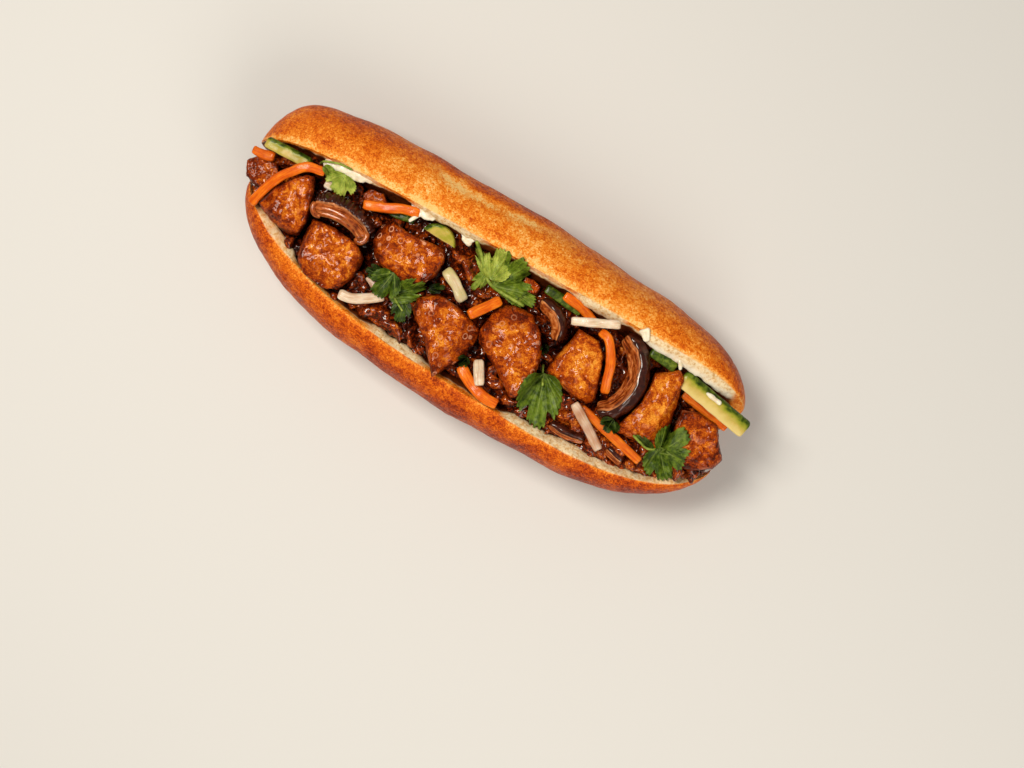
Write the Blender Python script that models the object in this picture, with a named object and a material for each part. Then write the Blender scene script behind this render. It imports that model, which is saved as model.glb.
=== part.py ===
"""A banh mi sandwich of glazed fried tofu, lying with its cut side up.

The roll is one piece of bread, slit along its length and opened like a trough: the domed lid half
stands on the +Y side, the thinner base half on the -Y side, and the uncut crust under them is the
hinge that it rests on. +X runs along the roll and +Z is up. Lengths in the tables are millimetres,
and every mesh is scaled to metres when it is made. The origin is the middle of the footprint.
"""

import math

import bmesh
import bpy
from mathutils import Matrix, Vector, noise
from mathutils.bvhtree import BVHTree

MM = 0.001

# ---- the roll: driving sizes -------------------------------------------------------------------
LID_MIDDLE_X, LID_HALF_LENGTH = -0.8, 126.3
BASE_MIDDLE_X, BASE_HALF_LENGTH = 2.8, 124.8
TIP_HEIGHT = 30.0           # the widest level of the roll, where its rounded ends come to a point
LID_RIM_HEIGHT = 60.0
BASE_RIM_HEIGHT = 51.0
LID_THICKNESS, BASE_THICKNESS = 23.3, 12.0   # how far each half's crust stands out past its rim
CUT_FLOOR = 12.0            # height of the bottom of the cut, above which the halves are apart
HINGE_Y = -3.0
FLAT_FOOT = 0.9             # how much of the round underside is pressed flat where it stands
FOOT_REACH = 0.72           # share of the half length that lies flat before the ends lift
STATIONS = 34
ARC_STEPS, FACE_STEPS = 8, 6

# ---- the filling ---------------------------------------------------------------------------------
FILLING_LEVEL = 46.0        # top of the minced filling between the larger pieces
BED_CLEARANCE = 1.8         # between the minced filling and the bread that holds it
PIECE_CLEARANCE = 1.1       # between the minced filling and what lies on it
BED_STATIONS, BED_COLUMNS, BED_WALL_STEPS = 38, 10, 4
CHUNK_POINTS = 20           # points round each lump of tofu


# ---- scene, materials and finishing -------------------------------------------------------------
def clear_scene():
    for old in list(bpy.data.objects):
        bpy.data.objects.remove(old)


def material(name, colour, roughness):
    made = bpy.data.materials.new(name)
    made.use_nodes = True
    shader = made.node_tree.nodes["Principled BSDF"]
    shader.inputs["Base Color"].default_value = (*colour, 1.0)
    shader.inputs["Roughness"].default_value = roughness
    shader.inputs["Metallic"].default_value = 0.0
    return made


def collection(name):
    made = bpy.data.collections.new(name)
    bpy.context.scene.collection.children.link(made)
    return made


def object_of(name, bm, finish, where):
    """Turns a bmesh in millimetres into an object in metres, with its faces pointing out."""
    bmesh.ops.recalc_face_normals(bm, faces=bm.faces)
    bmesh.ops.scale(bm, vec=(MM, MM, MM), verts=bm.verts)
    mesh = bpy.data.meshes.new(name)
    bm.to_mesh(mesh)
    bm.free()
    mesh.materials.append(finish)
    mesh.shade_smooth()
    mesh.set_sharp_from_angle(angle=math.radians(50))
    made = bpy.data.objects.new(name, mesh)
    where.objects.link(made)
    return made


# ---- the roll's shape --------------------------------------------------------------------------
def taper(u, power, root):
    """1 along most of the roll, falling to 0 at its end where u is 1 or -1."""
    return max(0.0, 1.0 - abs(u) ** power) ** root


def waver(x, size):
    """The slight unevenness of a baked and cut roll."""
    return size * (math.sin(0.083 * x + 1.0) + 0.5 * math.sin(0.21 * x))


def lid_rim_y(u):
    bend = 10 if u < 0 else 14
    return 26.2 + 6.5 * u - 2.0 * u * u - 7.0 * abs(u) ** bend


def base_rim_y(u):
    swell = taper(u, 2.6, 0.72) if u < 0 else taper(u, 3.8, 0.65)
    return -7.0 - 30.5 * swell


def lid_reach(u):
    """The lid's thickness: blunt at its -X end, drawn out at its +X end."""
    end = taper(u, 20, 0.5) if u < 0 else taper(u, 7, 0.6)
    return (LID_THICKNESS - 5.0 * u - 5.5 * u * u) * end


def base_reach(u):
    narrowing = 3.8 if u < 0 else 5.0
    return (BASE_THICKNESS - 1.5 * u - narrowing * u * u) * taper(u, 14, 0.5)


def rim_height(u, full_height):
    return TIP_HEIGHT + (full_height - TIP_HEIGHT) * taper(u, 6, 0.5)


def underside_height(u):
    past_foot = max(0.0, (abs(u) - FOOT_REACH) / (1.0 - FOOT_REACH))
    return TIP_HEIGHT * past_foot ** 2.4


class Half:
    """One half of the roll: the lid, on the +Y side, or the base, on the -Y side."""

    def __init__(self, middle_x, half_length, rim_y, reach, full_height, lean, side):
        self.middle_x, self.half_length = middle_x, half_length
        self.rim_y, self.reach = rim_y, reach
        self.full_height, self.lean, self.side = full_height, lean, side

    def x(self, u, inwards=0.0):
        """The halves aren't quite level with each other; inwards goes from this one to their mean."""
        own = self.middle_x + self.half_length * u
        mean = (LID_MIDDLE_X + BASE_MIDDLE_X + (LID_HALF_LENGTH + BASE_HALF_LENGTH) * u) / 2
        return own + (mean - own) * inwards * taper(u, 6, 1.0)

    def u_at(self, x):
        return max(-0.999, min(0.999, (x - self.middle_x) / self.half_length))

    def top(self, u):
        return rim_height(u, self.full_height)

    def cut_y(self, u, z):
        """Where the cut face is at height z: steep near the rim, rounded in at the floor."""
        up = max(0.0, (z - CUT_FLOOR) / (self.top(u) - CUT_FLOOR))
        return HINGE_Y + (self.rim_y(u) - HINGE_Y) * up ** self.lean(u)

    def foot(self, u):
        """(y, z) of the lowest point of this half's crust."""
        z = underside_height(u)
        return (HINGE_Y if z < CUT_FLOOR else self.cut_y(u, z)), z

    def crust(self, u):
        """Points over the crust, from the rim out to the widest level and round to the foot."""
        rim_y, top = self.rim_y(u), self.top(u)
        wavy = waver(self.x(u), 0.5) * taper(u, 6, 1.0)
        widest = rim_y + self.side * (self.reach(u) + wavy)
        foot_y, foot_z = self.foot(u)
        points = []
        for step in range(2 * ARC_STEPS + 1):
            if step <= ARC_STEPS:
                turn = math.pi / 2 * step / ARC_STEPS
                y = rim_y + (widest - rim_y) * math.sin(turn) ** 0.9
                z = TIP_HEIGHT + (top - TIP_HEIGHT) * math.cos(turn) ** 0.9
            else:
                turn = math.pi / 2 * (step - ARC_STEPS) / ARC_STEPS
                y = foot_y + (widest - foot_y) * math.cos(turn) ** 0.76
                z = TIP_HEIGHT - (TIP_HEIGHT - foot_z) * math.sin(turn) ** 0.76
                lowered = max(0.0, z - FLAT_FOOT) * TIP_HEIGHT / (TIP_HEIGHT - FLAT_FOOT)
                z = max(foot_z, lowered) if foot_z > 0 else lowered
            along = step / (2 * ARC_STEPS)
            points.append((self.x(u, along * along), y, z))
        return points

    def cut_face(self, u):
        """Points up the cut face, from the floor of the cut, or the foot, to just under the rim."""
        low = max(CUT_FLOOR, underside_height(u))
        points = []
        for step in range(FACE_STEPS):
            z = low + (self.top(u) - low) * (step / FACE_STEPS) ** 1.7
            points.append((self.x(u, 1.0 - step / FACE_STEPS), self.cut_y(u, z), z))
        return points


def lid_lean(u):
    """The lid's cut face is nearly upright at the -X end and leans out towards the +X end."""
    return 0.34 + 0.36 * max(0.0, u) ** 2


def base_lean(_u):
    return 0.5


LID = Half(LID_MIDDLE_X, LID_HALF_LENGTH, lid_rim_y, lid_reach, LID_RIM_HEIGHT, lid_lean, 1)
BASE = Half(BASE_MIDDLE_X, BASE_HALF_LENGTH, base_rim_y, base_reach, BASE_RIM_HEIGHT, base_lean, -1)


def make_bread(finish, where):
    """Lofts both halves over the same stations. They share the foot and the floor of the cut
    wherever the underside is below that floor, and are apart at the ends, where the cut runs out."""
    bm = bmesh.new()
    rows = []
    for station in range(1, STATIONS):
        u = math.sin(math.pi / 2 * (2 * station / STATIONS - 1))
        joined = underside_height(u) < CUT_FLOOR
        row = {"joined": joined}
        for name, half in (("lid", LID), ("base", BASE)):
            crust = [bm.verts.new(p) for p in half.crust(u)[:-1]]
            face = [bm.verts.new(p) for p in half.cut_face(u)[1:]]
            row[name] = [crust, face]
        if joined:
            foot, floor = bm.verts.new(LID.crust(u)[-1]), bm.verts.new(LID.cut_face(u)[0])
            feet, floors = (foot, foot), (floor, floor)
        else:
            feet = floors = tuple(bm.verts.new(half.crust(u)[-1]) for half in (LID, BASE))
        for name, foot, floor in zip(("lid", "base"), feet, floors):
            crust, face = row[name]
            row[name] = [crust + [foot], [floor] + face + [crust[0]]]
        rows.append(row)
    for one, two in zip(rows, rows[1:]):
        for name in ("lid", "base"):
            for strip_one, strip_two in zip(one[name], two[name]):
                for a, b, c, d in zip(strip_one, strip_one[1:], strip_two[1:], strip_two):
                    bm.faces.new((a, b, c, d))
        if one["joined"] != two["joined"]:
            whole, split = (one, two) if one["joined"] else (two, one)
            foot, floor = whole["lid"][0][-1], whole["lid"][1][0]
            bm.faces.new((foot, split["lid"][0][-1], floor, split["base"][0][-1]))
    for row, u in ((rows[0], -1.0), (rows[-1], 1.0)):
        for name, half in (("lid", LID), ("base", BASE)):
            tip = bm.verts.new((half.x(u), half.rim_y(u), TIP_HEIGHT))
            for strip in row[name]:
                for a, b in zip(strip, strip[1:]):
                    bm.faces.new((a, b, tip))
    return object_of("bread", bm, finish, where)


# ---- the pieces of the filling -------------------------------------------------------------------
def closed_curve(corners, count):
    """count points along a smooth closed curve through the corners, which keeps their character."""
    points = []
    for i in range(count):
        at = i * len(corners) / count
        k, t = int(at), at - int(at)
        a, b, c, d = (Vector(corners[(k + j) % len(corners)]) for j in (-1, 0, 1, 2))
        points.append(0.5 * (2 * b + (c - a) * t + (2 * a - 5 * b + 4 * c - d) * t * t
                             + (3 * b - a - 3 * c + d) * t * t * t))
    return points


def make_chunk(name, outline, under, over, faces, finish, where):
    """A lump of fried tofu over its outline in plan. under and over are the heights of its two
    faces in the middle, each with how much it climbs for each mm of x and of y. faces are slanting
    side faces: the way each looks, in degrees, how far out it starts, and how steeply it falls."""
    edge = closed_curve(outline, CHUNK_POINTS)
    middle = sum(edge, Vector((0, 0))) / len(edge)
    profile = ((0.60, 0.0), (0.88, 0.10), (0.98, 0.35), (1.0, 0.64), (0.97, 0.87), (0.87, 0.98),
               (0.50, 1.0))

    def point(x, y, level):
        x_out, y_out = x - middle.x, y - middle.y
        low = under[0] + under[1] * x_out + under[2] * y_out
        high = over[0] + over[1] * x_out + over[2] * y_out
        for heading, start, steepness in faces:
            turn = math.radians(heading)
            beyond = x_out * math.cos(turn) + y_out * math.sin(turn) - start
            high -= steepness * max(0.0, beyond)
        high = max(high, low + 4.0)
        dent = 0.9 * level * noise.noise(Vector((x, y, 3.0)) * 0.17)
        return (x, y, low + (high - low) * level + dent)

    bm = bmesh.new()
    rings = []
    for spread, level in profile:
        ring = []
        for corner in edge:
            wobble = 1 + 0.04 * noise.noise(Vector((corner.x, corner.y, 20 * level)) * 0.15)
            at = middle + (corner - middle) * spread * wobble
            ring.append(bm.verts.new(point(at.x, at.y, level)))
        rings.append(ring)
    for low, high in zip(rings, rings[1:]):
        for i, corner in enumerate(low):
            j = (i + 1) % len(low)
            bm.faces.new((corner, low[j], high[j], high[i]))
    for ring, level in ((rings[0][::-1], 0.0), (rings[-1], 1.0)):
        hub = bm.verts.new(point(middle.x, middle.y, level))
        for i, corner in enumerate(ring):
            bm.faces.new((corner, ring[(i + 1) % len(ring)], hub))
    return object_of(name, bm, finish, where)


def make_profile(name, points, where):
    """A closed outline that a curve is swept with. It is a helper, and isn't part of the food."""
    data = bpy.data.curves.new(name, "CURVE")
    data.dimensions = "2D"
    line = data.splines.new("POLY")
    line.points.add(len(points) - 1)
    for spot, (x, y) in zip(line.points, points):
        spot.co = (x * MM, y * MM, 0, 1)
    line.use_cyclic_u = True
    made = bpy.data.objects.new(name, data)
    made.hide_render = True
    made.display_type = "WIRE"
    where.objects.link(made)
    return made


def stick_profile(width, height, corner=0.8):
    """A cut stick's section: a rectangle with its corners taken off."""
    x, y = width / 2, height / 2
    return [(x - corner, y), (corner - x, y), (-x, y - corner), (-x, corner - y),
            (corner - x, -y), (x - corner, -y), (x, corner - y), (x, y - corner)]


def spear_profile(width, height):
    """A cucumber spear's section: a cut face on top, and the round skin on the route's left."""
    shape = [(0.50, 0.42), (0.10, 0.50), (-0.28, 0.50), (-0.46, 0.30),
             (-0.50, 0.00), (-0.42, -0.32), (-0.22, -0.50), (0.15, -0.22)]
    return [(x * width, y * height) for x, y in shape]


def mushroom_profile(width, height, tilt=42):
    """A slice of cap, tilted so that its skin, on the left of the route, is turned up."""
    turn = math.radians(-tilt)
    points = []
    for x, y in stick_profile(width, height, 1.6):
        points.append((x * math.cos(turn) - y * math.sin(turn),
                       x * math.sin(turn) + y * math.cos(turn)))
    return points


def smooth_route(points, steps):
    """Points along a Catmull-Rom curve through the given ones."""
    spots = [Vector(p) for p in points]
    spots = [2 * spots[0] - spots[1]] + spots + [2 * spots[-1] - spots[-2]]
    route = []
    for a, b, c, d in zip(spots, spots[1:], spots[2:], spots[3:]):
        for step in range(steps):
            t = step / steps
            route.append(0.5 * (2 * b + (c - a) * t + (2 * a - 5 * b + 4 * c - d) * t * t
                                + (3 * b - a - 3 * c + d) * t * t * t))
    return route + [spots[-2]]


def make_stick(name, route, profile, end_size, finish, where):
    """A stick of vegetable: the profile swept along its route, with both ends closed, and drawn in
    towards them to end_size. The swept curve is made a mesh, so that the minced filling can be
    shaped round it."""
    data = bpy.data.curves.new(name, "CURVE")
    data.dimensions = "3D"
    data.twist_mode = "Z_UP"
    line = data.splines.new("POLY")
    points = smooth_route(route, 3 if len(route) > 2 else 1)
    line.points.add(len(points) - 1)
    for i, (spot, point) in enumerate(zip(line.points, points)):
        spot.co = (*(point * MM), 1)
        along = 2 * i / (len(points) - 1) - 1
        spot.radius = end_size + (1 - end_size) * taper(along, 4, 0.5)
    data.bevel_mode = "OBJECT"
    data.bevel_object = profile
    data.use_fill_caps = True
    swept = bpy.data.objects.new(name + "_sweep", data)
    where.objects.link(swept)
    bpy.context.view_layer.update()
    graph = bpy.context.evaluated_depsgraph_get()
    mesh = bpy.data.meshes.new_from_object(swept.evaluated_get(graph))
    bpy.data.objects.remove(swept)
    bm = bmesh.new()
    bm.from_mesh(mesh)
    bpy.data.meshes.remove(mesh)
    bmesh.ops.remove_doubles(bm, verts=bm.verts, dist=1e-6)
    bmesh.ops.scale(bm, vec=(1 / MM, 1 / MM, 1 / MM), verts=bm.verts)
    return object_of(name, bm, finish, where)


def make_half_round(name, ends, bow, thickness, tilt, finish, where):
    """A flat slice with one straight side, between its two ends, and one bowed side on the left
    of it, which is raised by tilt degrees."""
    start, end = Vector(ends[0]), Vector(ends[1])
    chord = (end - start).length
    radius = (chord * chord / 4 + bow * bow) / (2 * bow)
    half_turn = math.asin(min(1.0, chord / 2 / radius))
    outline = []
    for i in range(13):
        turn = half_turn * (1 - i / 6)
        outline.append((radius * math.sin(turn), bow - radius * (1 - math.cos(turn))))
    bm = bmesh.new()
    low, high = ([bm.verts.new((x, y, z)) for x, y in outline]
                 for z in (-thickness / 2, thickness / 2))
    for i, corner in enumerate(low):
        j = (i + 1) % len(low)
        bm.faces.new((corner, low[j], high[j], high[i]))
    bm.faces.new(low[::-1])
    bm.faces.new(high)
    along = (end - start).normalized()
    turned = (Matrix.Translation((start + end) / 2)
              @ Matrix.Rotation(math.atan2(along.y, along.x), 4, "Z")
              @ Matrix.Rotation(math.radians(tilt), 4, "X"))
    bmesh.ops.transform(bm, matrix=turned, verts=bm.verts)
    return object_of(name, bm, finish, where)


# Lumps of fried tofu: corners in plan, the underside's and the top's height and climb, and then
# the slanting faces.
TOFU = (
    ([(-125, -1), (-122.5, -6), (-117, -8), (-110.5, -6), (-110, 1), (-114, 4), (-121, 3.5)],
     (34, 0.0, 0.0), (46, 0.10, 0.0), ()),
    ([(-111, -14), (-108, -4), (-102, 5), (-96, 9), (-92.5, 3), (-88, -10), (-88.5, -16.5),
      (-93, -19), (-102, -18)], (37, 0.1, 0.0), (54, 0.20, 0.05),
     ((-90, 7, 1.1), (180, 7, 0.5))),
    ([(-86, -7.5), (-76, -6), (-64, -6.5), (-58, -10), (-57, -19), (-60, -28), (-66, -31),
      (-77, -30), (-82, -26), (-85, -16)], (42, 0.0, -0.75), (58.5, 0.05, 0.0),
     ((-90, 7, 0.7), (0, 10, 0.9), (180, 11, 0.9))),
    ([(-58, 7), (-57.5, -1), (-53, -7), (-44, -10), (-36, -10), (-29, -6.5), (-26, 0), (-26, 8),
      (-29, 12), (-36, 11.5), (-47, 10), (-54, 11)], (42, 0.0, 0.0), (59.5, 0.0, 0.0),
     ((-90, 6, 0.8), (180, 10, 0.7), (90, 7, 0.6))),
    ([(-26.5, -13), (-22, -8), (-17, -6), (-8, -7), (3, -9.5), (5, -14), (4.2, -23), (0.5, -32),
      (-3, -38.5), (-7, -34.5), (-13.5, -27.5), (-20, -22.5), (-26, -18)],
     (45, 0.0, -0.42), (60, 0.0, 0.02), ((220, 6, 0.7), (0, 7, 0.8))),
    ([(21, 8.5), (12, 7.5), (5.5, 4.5), (4.5, -9), (7, -14.5), (20, -21), (31, -27.5), (34, -26),
      (36, -15), (33, -4), (28, 3)], (42, 0.0, 0.0), (60, 0.0, 0.0),
     ((235, 9, 0.9), (120, 8, 0.5), (10, 10, 0.5))),
    ([(42, 14), (52, 14.5), (57, 10), (60.5, 2), (64, -8), (62, -12), (55, -12.5), (45, -10.5),
      (39.5, -9), (40, 0), (41.5, 7)], (41, 0.0, 0.0), (58, -0.05, 0.0),
     ((-90, 8, 1.0), (180, 8, 0.6), (0, 9, 0.8))),
    ([(90, 22.5), (93.5, 20), (96.5, 11), (101.4, -8.5), (98.5, -12.5), (88, -14.5), (81, -15),
      (80, -11.5), (83, 0), (83, 8), (81.5, 15.5), (86, 19)], (42, 0.0, 0.0),
     (57, -0.05, 0.0), ((0, 5, 1.1), (-90, 13, 0.9))),
    ([(101, 8), (108, 11), (117, 10.5), (122, 5), (128, -1), (126, -6.5), (119, -12), (111, -15.5),
      (103.5, -14), (102.8, -4)], (37, -0.10, 0.0), (54, -0.15, 0.05),
     ((-90, 6, 0.9), (10, 9, 0.6))),
    ([(-73, 14), (-71, 18), (-65, 19), (-61, 16.5), (-62, 12.5), (-69, 11)],
     (42, 0.0, 0.0), (52, 0.0, 0.0), ()),
    ([(9, 17.5), (9, 21.5), (13, 22.5), (17, 21), (17, 17.5), (13, 16)],
     (44, 0.0, 0.0), (53, 0.0, 0.0), ()),
)

# Sticks: their routes (x, y, z), width and height.
CARROT = (
    ([(-92, 13, 57), (-100, 11, 57.5), (-105, 5.5, 56.5), (-109, -0.5, 54), (-112, -8, 51),
      (-114, -16, 47)], 4.4, 3.2),
    ([(-126, 6.4, 45.5), (-116.5, 7, 47)], 4.2, 3.2),
    ([(-70, 10.3, 55), (-60, 14.5, 55.5), (-53.5, 18, 56), (-46.5, 20, 56)], 4.6, 3.4),
    ([(-3.4, -6.8, 61), (5, 6.5, 58)], 4.8, 3.6),
    ([(28, 23.8, 55.5), (37.5, 22.9, 55), (45.5, 20.6, 54)], 4.4, 3.4),
    ([(50.5, 18.5, 58), (55.5, 17, 60), (61.3, 9.3, 60), (64.5, 1.5, 58), (66.5, -3.5, 55)],
     4.2, 3.0),
    ([(5.5, -28, 52.8), (14.3, -32.5, 53.4), (22, -34.3, 53.8), (28.5, -34, 53.8)], 5.2, 3.0),
    ([(61.3, -15, 49.7), (79, -18.3, 50.3), (96.5, -21.5, 50.5)], 4.2, 3.2),
    ([(97.5, 14.9, 46.6), (108.5, 13.9, 46.6), (120.5, 12.4, 46)], 3.6, 3.4),
)
DAIKON = (
    ([(-58, -29.5, 54), (-52.3, -28.5, 54.3), (-46.5, -24.8, 54), (-40.5, -20, 53)], 4.6, 3.6),
    ([(11, -21.5, 55.5), (17.3, -30.8, 58)], 4.8, 3.4),
    ([(36.8, 15.5, 60), (56.2, 25.5, 62.5)], 4.6, 3.6),
    ([(57.5, -15, 55), (67.3, -20.5, 54.5), (78, -27, 54)], 4.4, 3.4),
    ([(-22.5, 6.2, 52), (-8, -3, 52)], 6.0, 3.4),
    ([(-90, 9.4, 51), (-85.5, 9.6, 51)], 4.0, 3.0),
    ([(-51.5, -16, 48.5), (-46, -18.5, 48.5)], 3.6, 2.8),
)
CUCUMBER = (
    ([(-122.5, 11.3, 47.3), (-100.5, 12.9, 50.3)], 5.6, 5.4),
    ([(95.2, 20.6, 50.5), (129.5, 15.8, 51)], 8.6, 6.4),
    ([(76, 23.2, 50.5), (86.8, 23.2, 50.5)], 4.4, 5.6),
    ([(19.3, 22.2, 51), (38.5, 21.2, 50.8)], 4.4, 4.0),
    ([(-58.5, 14, 48.5), (-47, 16.5, 49)], 3.8, 4.0),
)
SHIITAKE = (
    ([(-88.5, -0.5, 51.5), (-82, 2.5, 53), (-73.5, 3.3, 54), (-65.5, 2, 53.5), (-61.5, 0, 52.5)],
     10.0, 7.0),
    ([(21, 16.0, 53), (28.5, 14.4, 55), (33.6, 10, 55), (35.4, 5, 53)], 7.6, 5.8),
    ([(62, 23.3, 51), (70, 19, 53.5), (75.7, 9.5, 55), (76.1, -0.5, 55), (73, -8.2, 53),
      (68.4, -11.8, 51.5)], 9.8, 7.4),
    ([(53.5, -28.5, 49.3), (62, -28.5, 49.6), (70, -26.5, 49.3)], 5.0, 4.0),
    ([(81, -24, 48.2), (90, -25.6, 48.2)], 5.0, 4.4),
)
MUSHROOM_END, CUT_END = 0.62, 1.0

# The half round of cucumber: its two tips, and how far its skin bows out from them.
CUCUMBER_ROUND = [(-41, 15.4, 52.5), (-25.8, 15.4, 52.5)]
CUCUMBER_BOW, CUCUMBER_TILT, CUCUMBER_ROUND_THICKNESS = 6.0, 18, 4.0


def make_filling(finishes, where, helpers):
    """Every piece that lies on the minced filling."""
    pieces = []
    for number, (outline, under, over, faces) in enumerate(TOFU, 1):
        pieces.append(make_chunk(f"tofu_{number}", outline, under, over, faces,
                                 finishes["tofu"], where))
    for kind, rows, profile_of, end_size in (
            ("carrot", CARROT, stick_profile, CUT_END),
            ("daikon", DAIKON, stick_profile, CUT_END),
            ("cucumber", CUCUMBER, spear_profile, CUT_END),
            ("shiitake", SHIITAKE, mushroom_profile, MUSHROOM_END)):
        for number, (route, width, height) in enumerate(rows, 1):
            profile = make_profile(f"{kind}_{number}_profile", profile_of(width, height), helpers)
            pieces.append(make_stick(f"{kind}_{number}", route, profile, end_size,
                                     finishes[kind], where))
    pieces.append(make_half_round(f"cucumber_{len(CUCUMBER) + 1}", CUCUMBER_ROUND, CUCUMBER_BOW,
                                  CUCUMBER_ROUND_THICKNESS, CUCUMBER_TILT,
                                  finishes["cucumber"], where))
    return pieces


# ---- the minced filling -------------------------------------------------------------------------
def undersides(pieces):
    graph = bpy.context.evaluated_depsgraph_get()
    return [BVHTree.FromObject(piece, graph) for piece in pieces]


def bed_height(x, y, level, trees, reach):
    """The mince's height at x, y: its own level, or just under the lowest piece near there."""
    height = level
    for step_x in (-1, 0, 1):
        for step_y in (-1, 0, 1):
            start = Vector((x + step_x * reach, y + step_y * reach, 0)) * MM
            for tree in trees:
                spot = tree.ray_cast(start, Vector((0, 0, 1)))[0]
                if spot is not None:
                    height = min(height, spot.z / MM - PIECE_CLEARANCE)
    return height


def make_mince(trees, finish, where):
    """The minced filling: it fills the cut from its floor up to an uneven top, a little clear of
    the bread, and dips under each piece that lies on it."""
    bm = bmesh.new()
    rows = []
    reach = 2.6
    for station in range(BED_STATIONS + 1):
        u = -0.925 + 1.87 * station / BED_STATIONS
        x = LID.x(u, 1.0)
        floor = max(CUT_FLOOR, underside_height(u)) + BED_CLEARANCE + 0.6
        level = floor + (FILLING_LEVEL - floor) * taper(u, 10, 0.5)
        level = min(level, BASE.top(BASE.u_at(x)) - 3.0)

        def wall(half, z, x=x):
            return half.cut_y(half.u_at(x), z - BED_CLEARANCE) - half.side * 0.6

        tops = []
        for column in range(BED_COLUMNS + 1):
            share = column / BED_COLUMNS
            y = wall(BASE, level) + (wall(LID, level) - wall(BASE, level)) * share
            lumps = 1.6 * noise.noise(Vector((x, y, 5.0)) * 0.16)
            height = bed_height(x, y, level + lumps, trees, reach)
            tops.append([y, max(floor + 1.5, height)])
        tops[0][0] = wall(BASE, tops[0][1])
        tops[-1][0] = wall(LID, tops[-1][1])
        ring = [(x, y, z) for y, z in tops]
        for half, edge in ((LID, tops[-1][1]), (BASE, tops[0][1])):
            side = []
            for step in range(1, BED_WALL_STEPS + 1):
                z = edge + (floor - edge) * step / BED_WALL_STEPS
                side.append((x, wall(half, z), z))
            ring += side if half is LID else side[::-1]
        rows.append([bm.verts.new(p) for p in ring])
    for one, two in zip(rows, rows[1:]):
        for i, corner in enumerate(one):
            j = (i + 1) % len(one)
            bm.faces.new((corner, one[j], two[j], two[i]))
    bm.faces.new(rows[0])
    bm.faces.new(rows[-1][::-1])
    return object_of("mince", bm, finish, where)


def centre_on_footprint(objects):
    """Moves the meshes so that the origin is the middle of the bottom of their common box."""
    points = [v.co for made in objects for v in made.data.vertices]
    lows, highs = ([pick(p[axis] for p in points) for axis in range(3)] for pick in (min, max))
    shift = Vector((-(lows[0] + highs[0]) / 2, -(lows[1] + highs[1]) / 2, -lows[2]))
    for made in objects:
        made.data.transform(Matrix.Translation(shift))


def main():
    clear_scene()
    food = collection("banh_mi")
    helpers = collection("helpers")
    helpers.hide_render = True
    finishes = {
        "bread": material("bread_crust", (0.66, 0.31, 0.09), 0.55),
        "tofu": material("fried_tofu", (0.42, 0.13, 0.02), 0.3),
        "carrot": material("pickled_carrot", (0.80, 0.22, 0.02), 0.35),
        "daikon": material("pickled_daikon", (0.80, 0.72, 0.58), 0.35),
        "cucumber": material("cucumber", (0.36, 0.45, 0.12), 0.35),
        "shiitake": material("shiitake", (0.16, 0.06, 0.03), 0.4),
        "mince": material("minced_filling", (0.10, 0.03, 0.015), 0.35),
    }
    bread = make_bread(finishes["bread"], food)
    pieces = make_filling(finishes, food, helpers)
    bpy.context.view_layer.update()
    mince = make_mince(undersides(pieces), finishes["mince"], food)
    centre_on_footprint([bread, mince] + pieces)


main()
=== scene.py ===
"""The looks of the banh mi sandwich: its bread, filling, herbs and sauce, with a plain studio."""

import random
from math import asin, cos, dist, exp, pi, radians, sin
from types import SimpleNamespace

import bpy
import numpy as np
from mathutils import Matrix, Vector, noise
from mathutils.bvhtree import BVHTree


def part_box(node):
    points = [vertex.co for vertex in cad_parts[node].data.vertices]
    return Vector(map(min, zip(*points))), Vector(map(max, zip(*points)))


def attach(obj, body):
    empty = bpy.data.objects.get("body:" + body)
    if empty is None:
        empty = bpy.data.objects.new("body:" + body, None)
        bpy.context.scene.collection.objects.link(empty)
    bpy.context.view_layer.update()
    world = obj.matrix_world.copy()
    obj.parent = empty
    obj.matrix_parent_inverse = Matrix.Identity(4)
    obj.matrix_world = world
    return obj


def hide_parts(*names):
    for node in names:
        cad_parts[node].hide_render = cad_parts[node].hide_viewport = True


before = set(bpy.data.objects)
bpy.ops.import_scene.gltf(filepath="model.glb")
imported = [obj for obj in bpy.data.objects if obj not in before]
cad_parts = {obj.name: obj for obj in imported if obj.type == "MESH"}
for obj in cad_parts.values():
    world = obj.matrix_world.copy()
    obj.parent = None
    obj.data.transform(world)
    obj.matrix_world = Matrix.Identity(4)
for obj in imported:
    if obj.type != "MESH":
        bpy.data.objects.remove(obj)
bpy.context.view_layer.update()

MM = 0.001
UP = np.array((0.0, 0.0, 1.0))
pieces = []                 # every finished piece, which the herbs are laid over

# The roll's driving sizes, in millimetres, as in the model.
LID_MIDDLE_X, LID_HALF_LENGTH = -0.8, 126.3
BASE_MIDDLE_X, BASE_HALF_LENGTH = 2.8, 124.8
TIP_HEIGHT, LID_RIM_HEIGHT, BASE_RIM_HEIGHT = 30.0, 60.0, 51.0
LID_THICKNESS, BASE_THICKNESS = 23.3, 12.0
CUT_FLOOR, HINGE_Y, FLAT_FOOT, FOOT_REACH = 12.0, -3.0, 0.9, 0.72
MODEL_STATIONS, MODEL_ARC_STEPS = 34, 8


# ---- small tools ----
CURVE_STEPS = 24            # points worked out between two given points of an open curve


def clamp(value):
    return min(1.0, max(0.0, value))


def ease(low, high, value):
    """0 at low, 1 at high and smooth between them; low may be the larger."""
    t = clamp((value - low) / (high - low))
    return t * t * (3 - 2 * t)


def mix(a, b, share):
    return a + (b - a) * share


def ripple(x, y, z, size, seed=0.0):
    """Smooth noise from about -1 to 1, with features of that size in millimetres."""
    return noise.noise(Vector((x / size + seed, y / size - seed, z / size + 2 * seed)))


def rough(x, y, z, size, octaves, seed):
    """Noise with finer and finer features added, from about -1 to 1."""
    return sum(0.55 ** k * ripple(x, y, z, size * 0.5 ** k, seed) for k in range(octaves))


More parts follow.
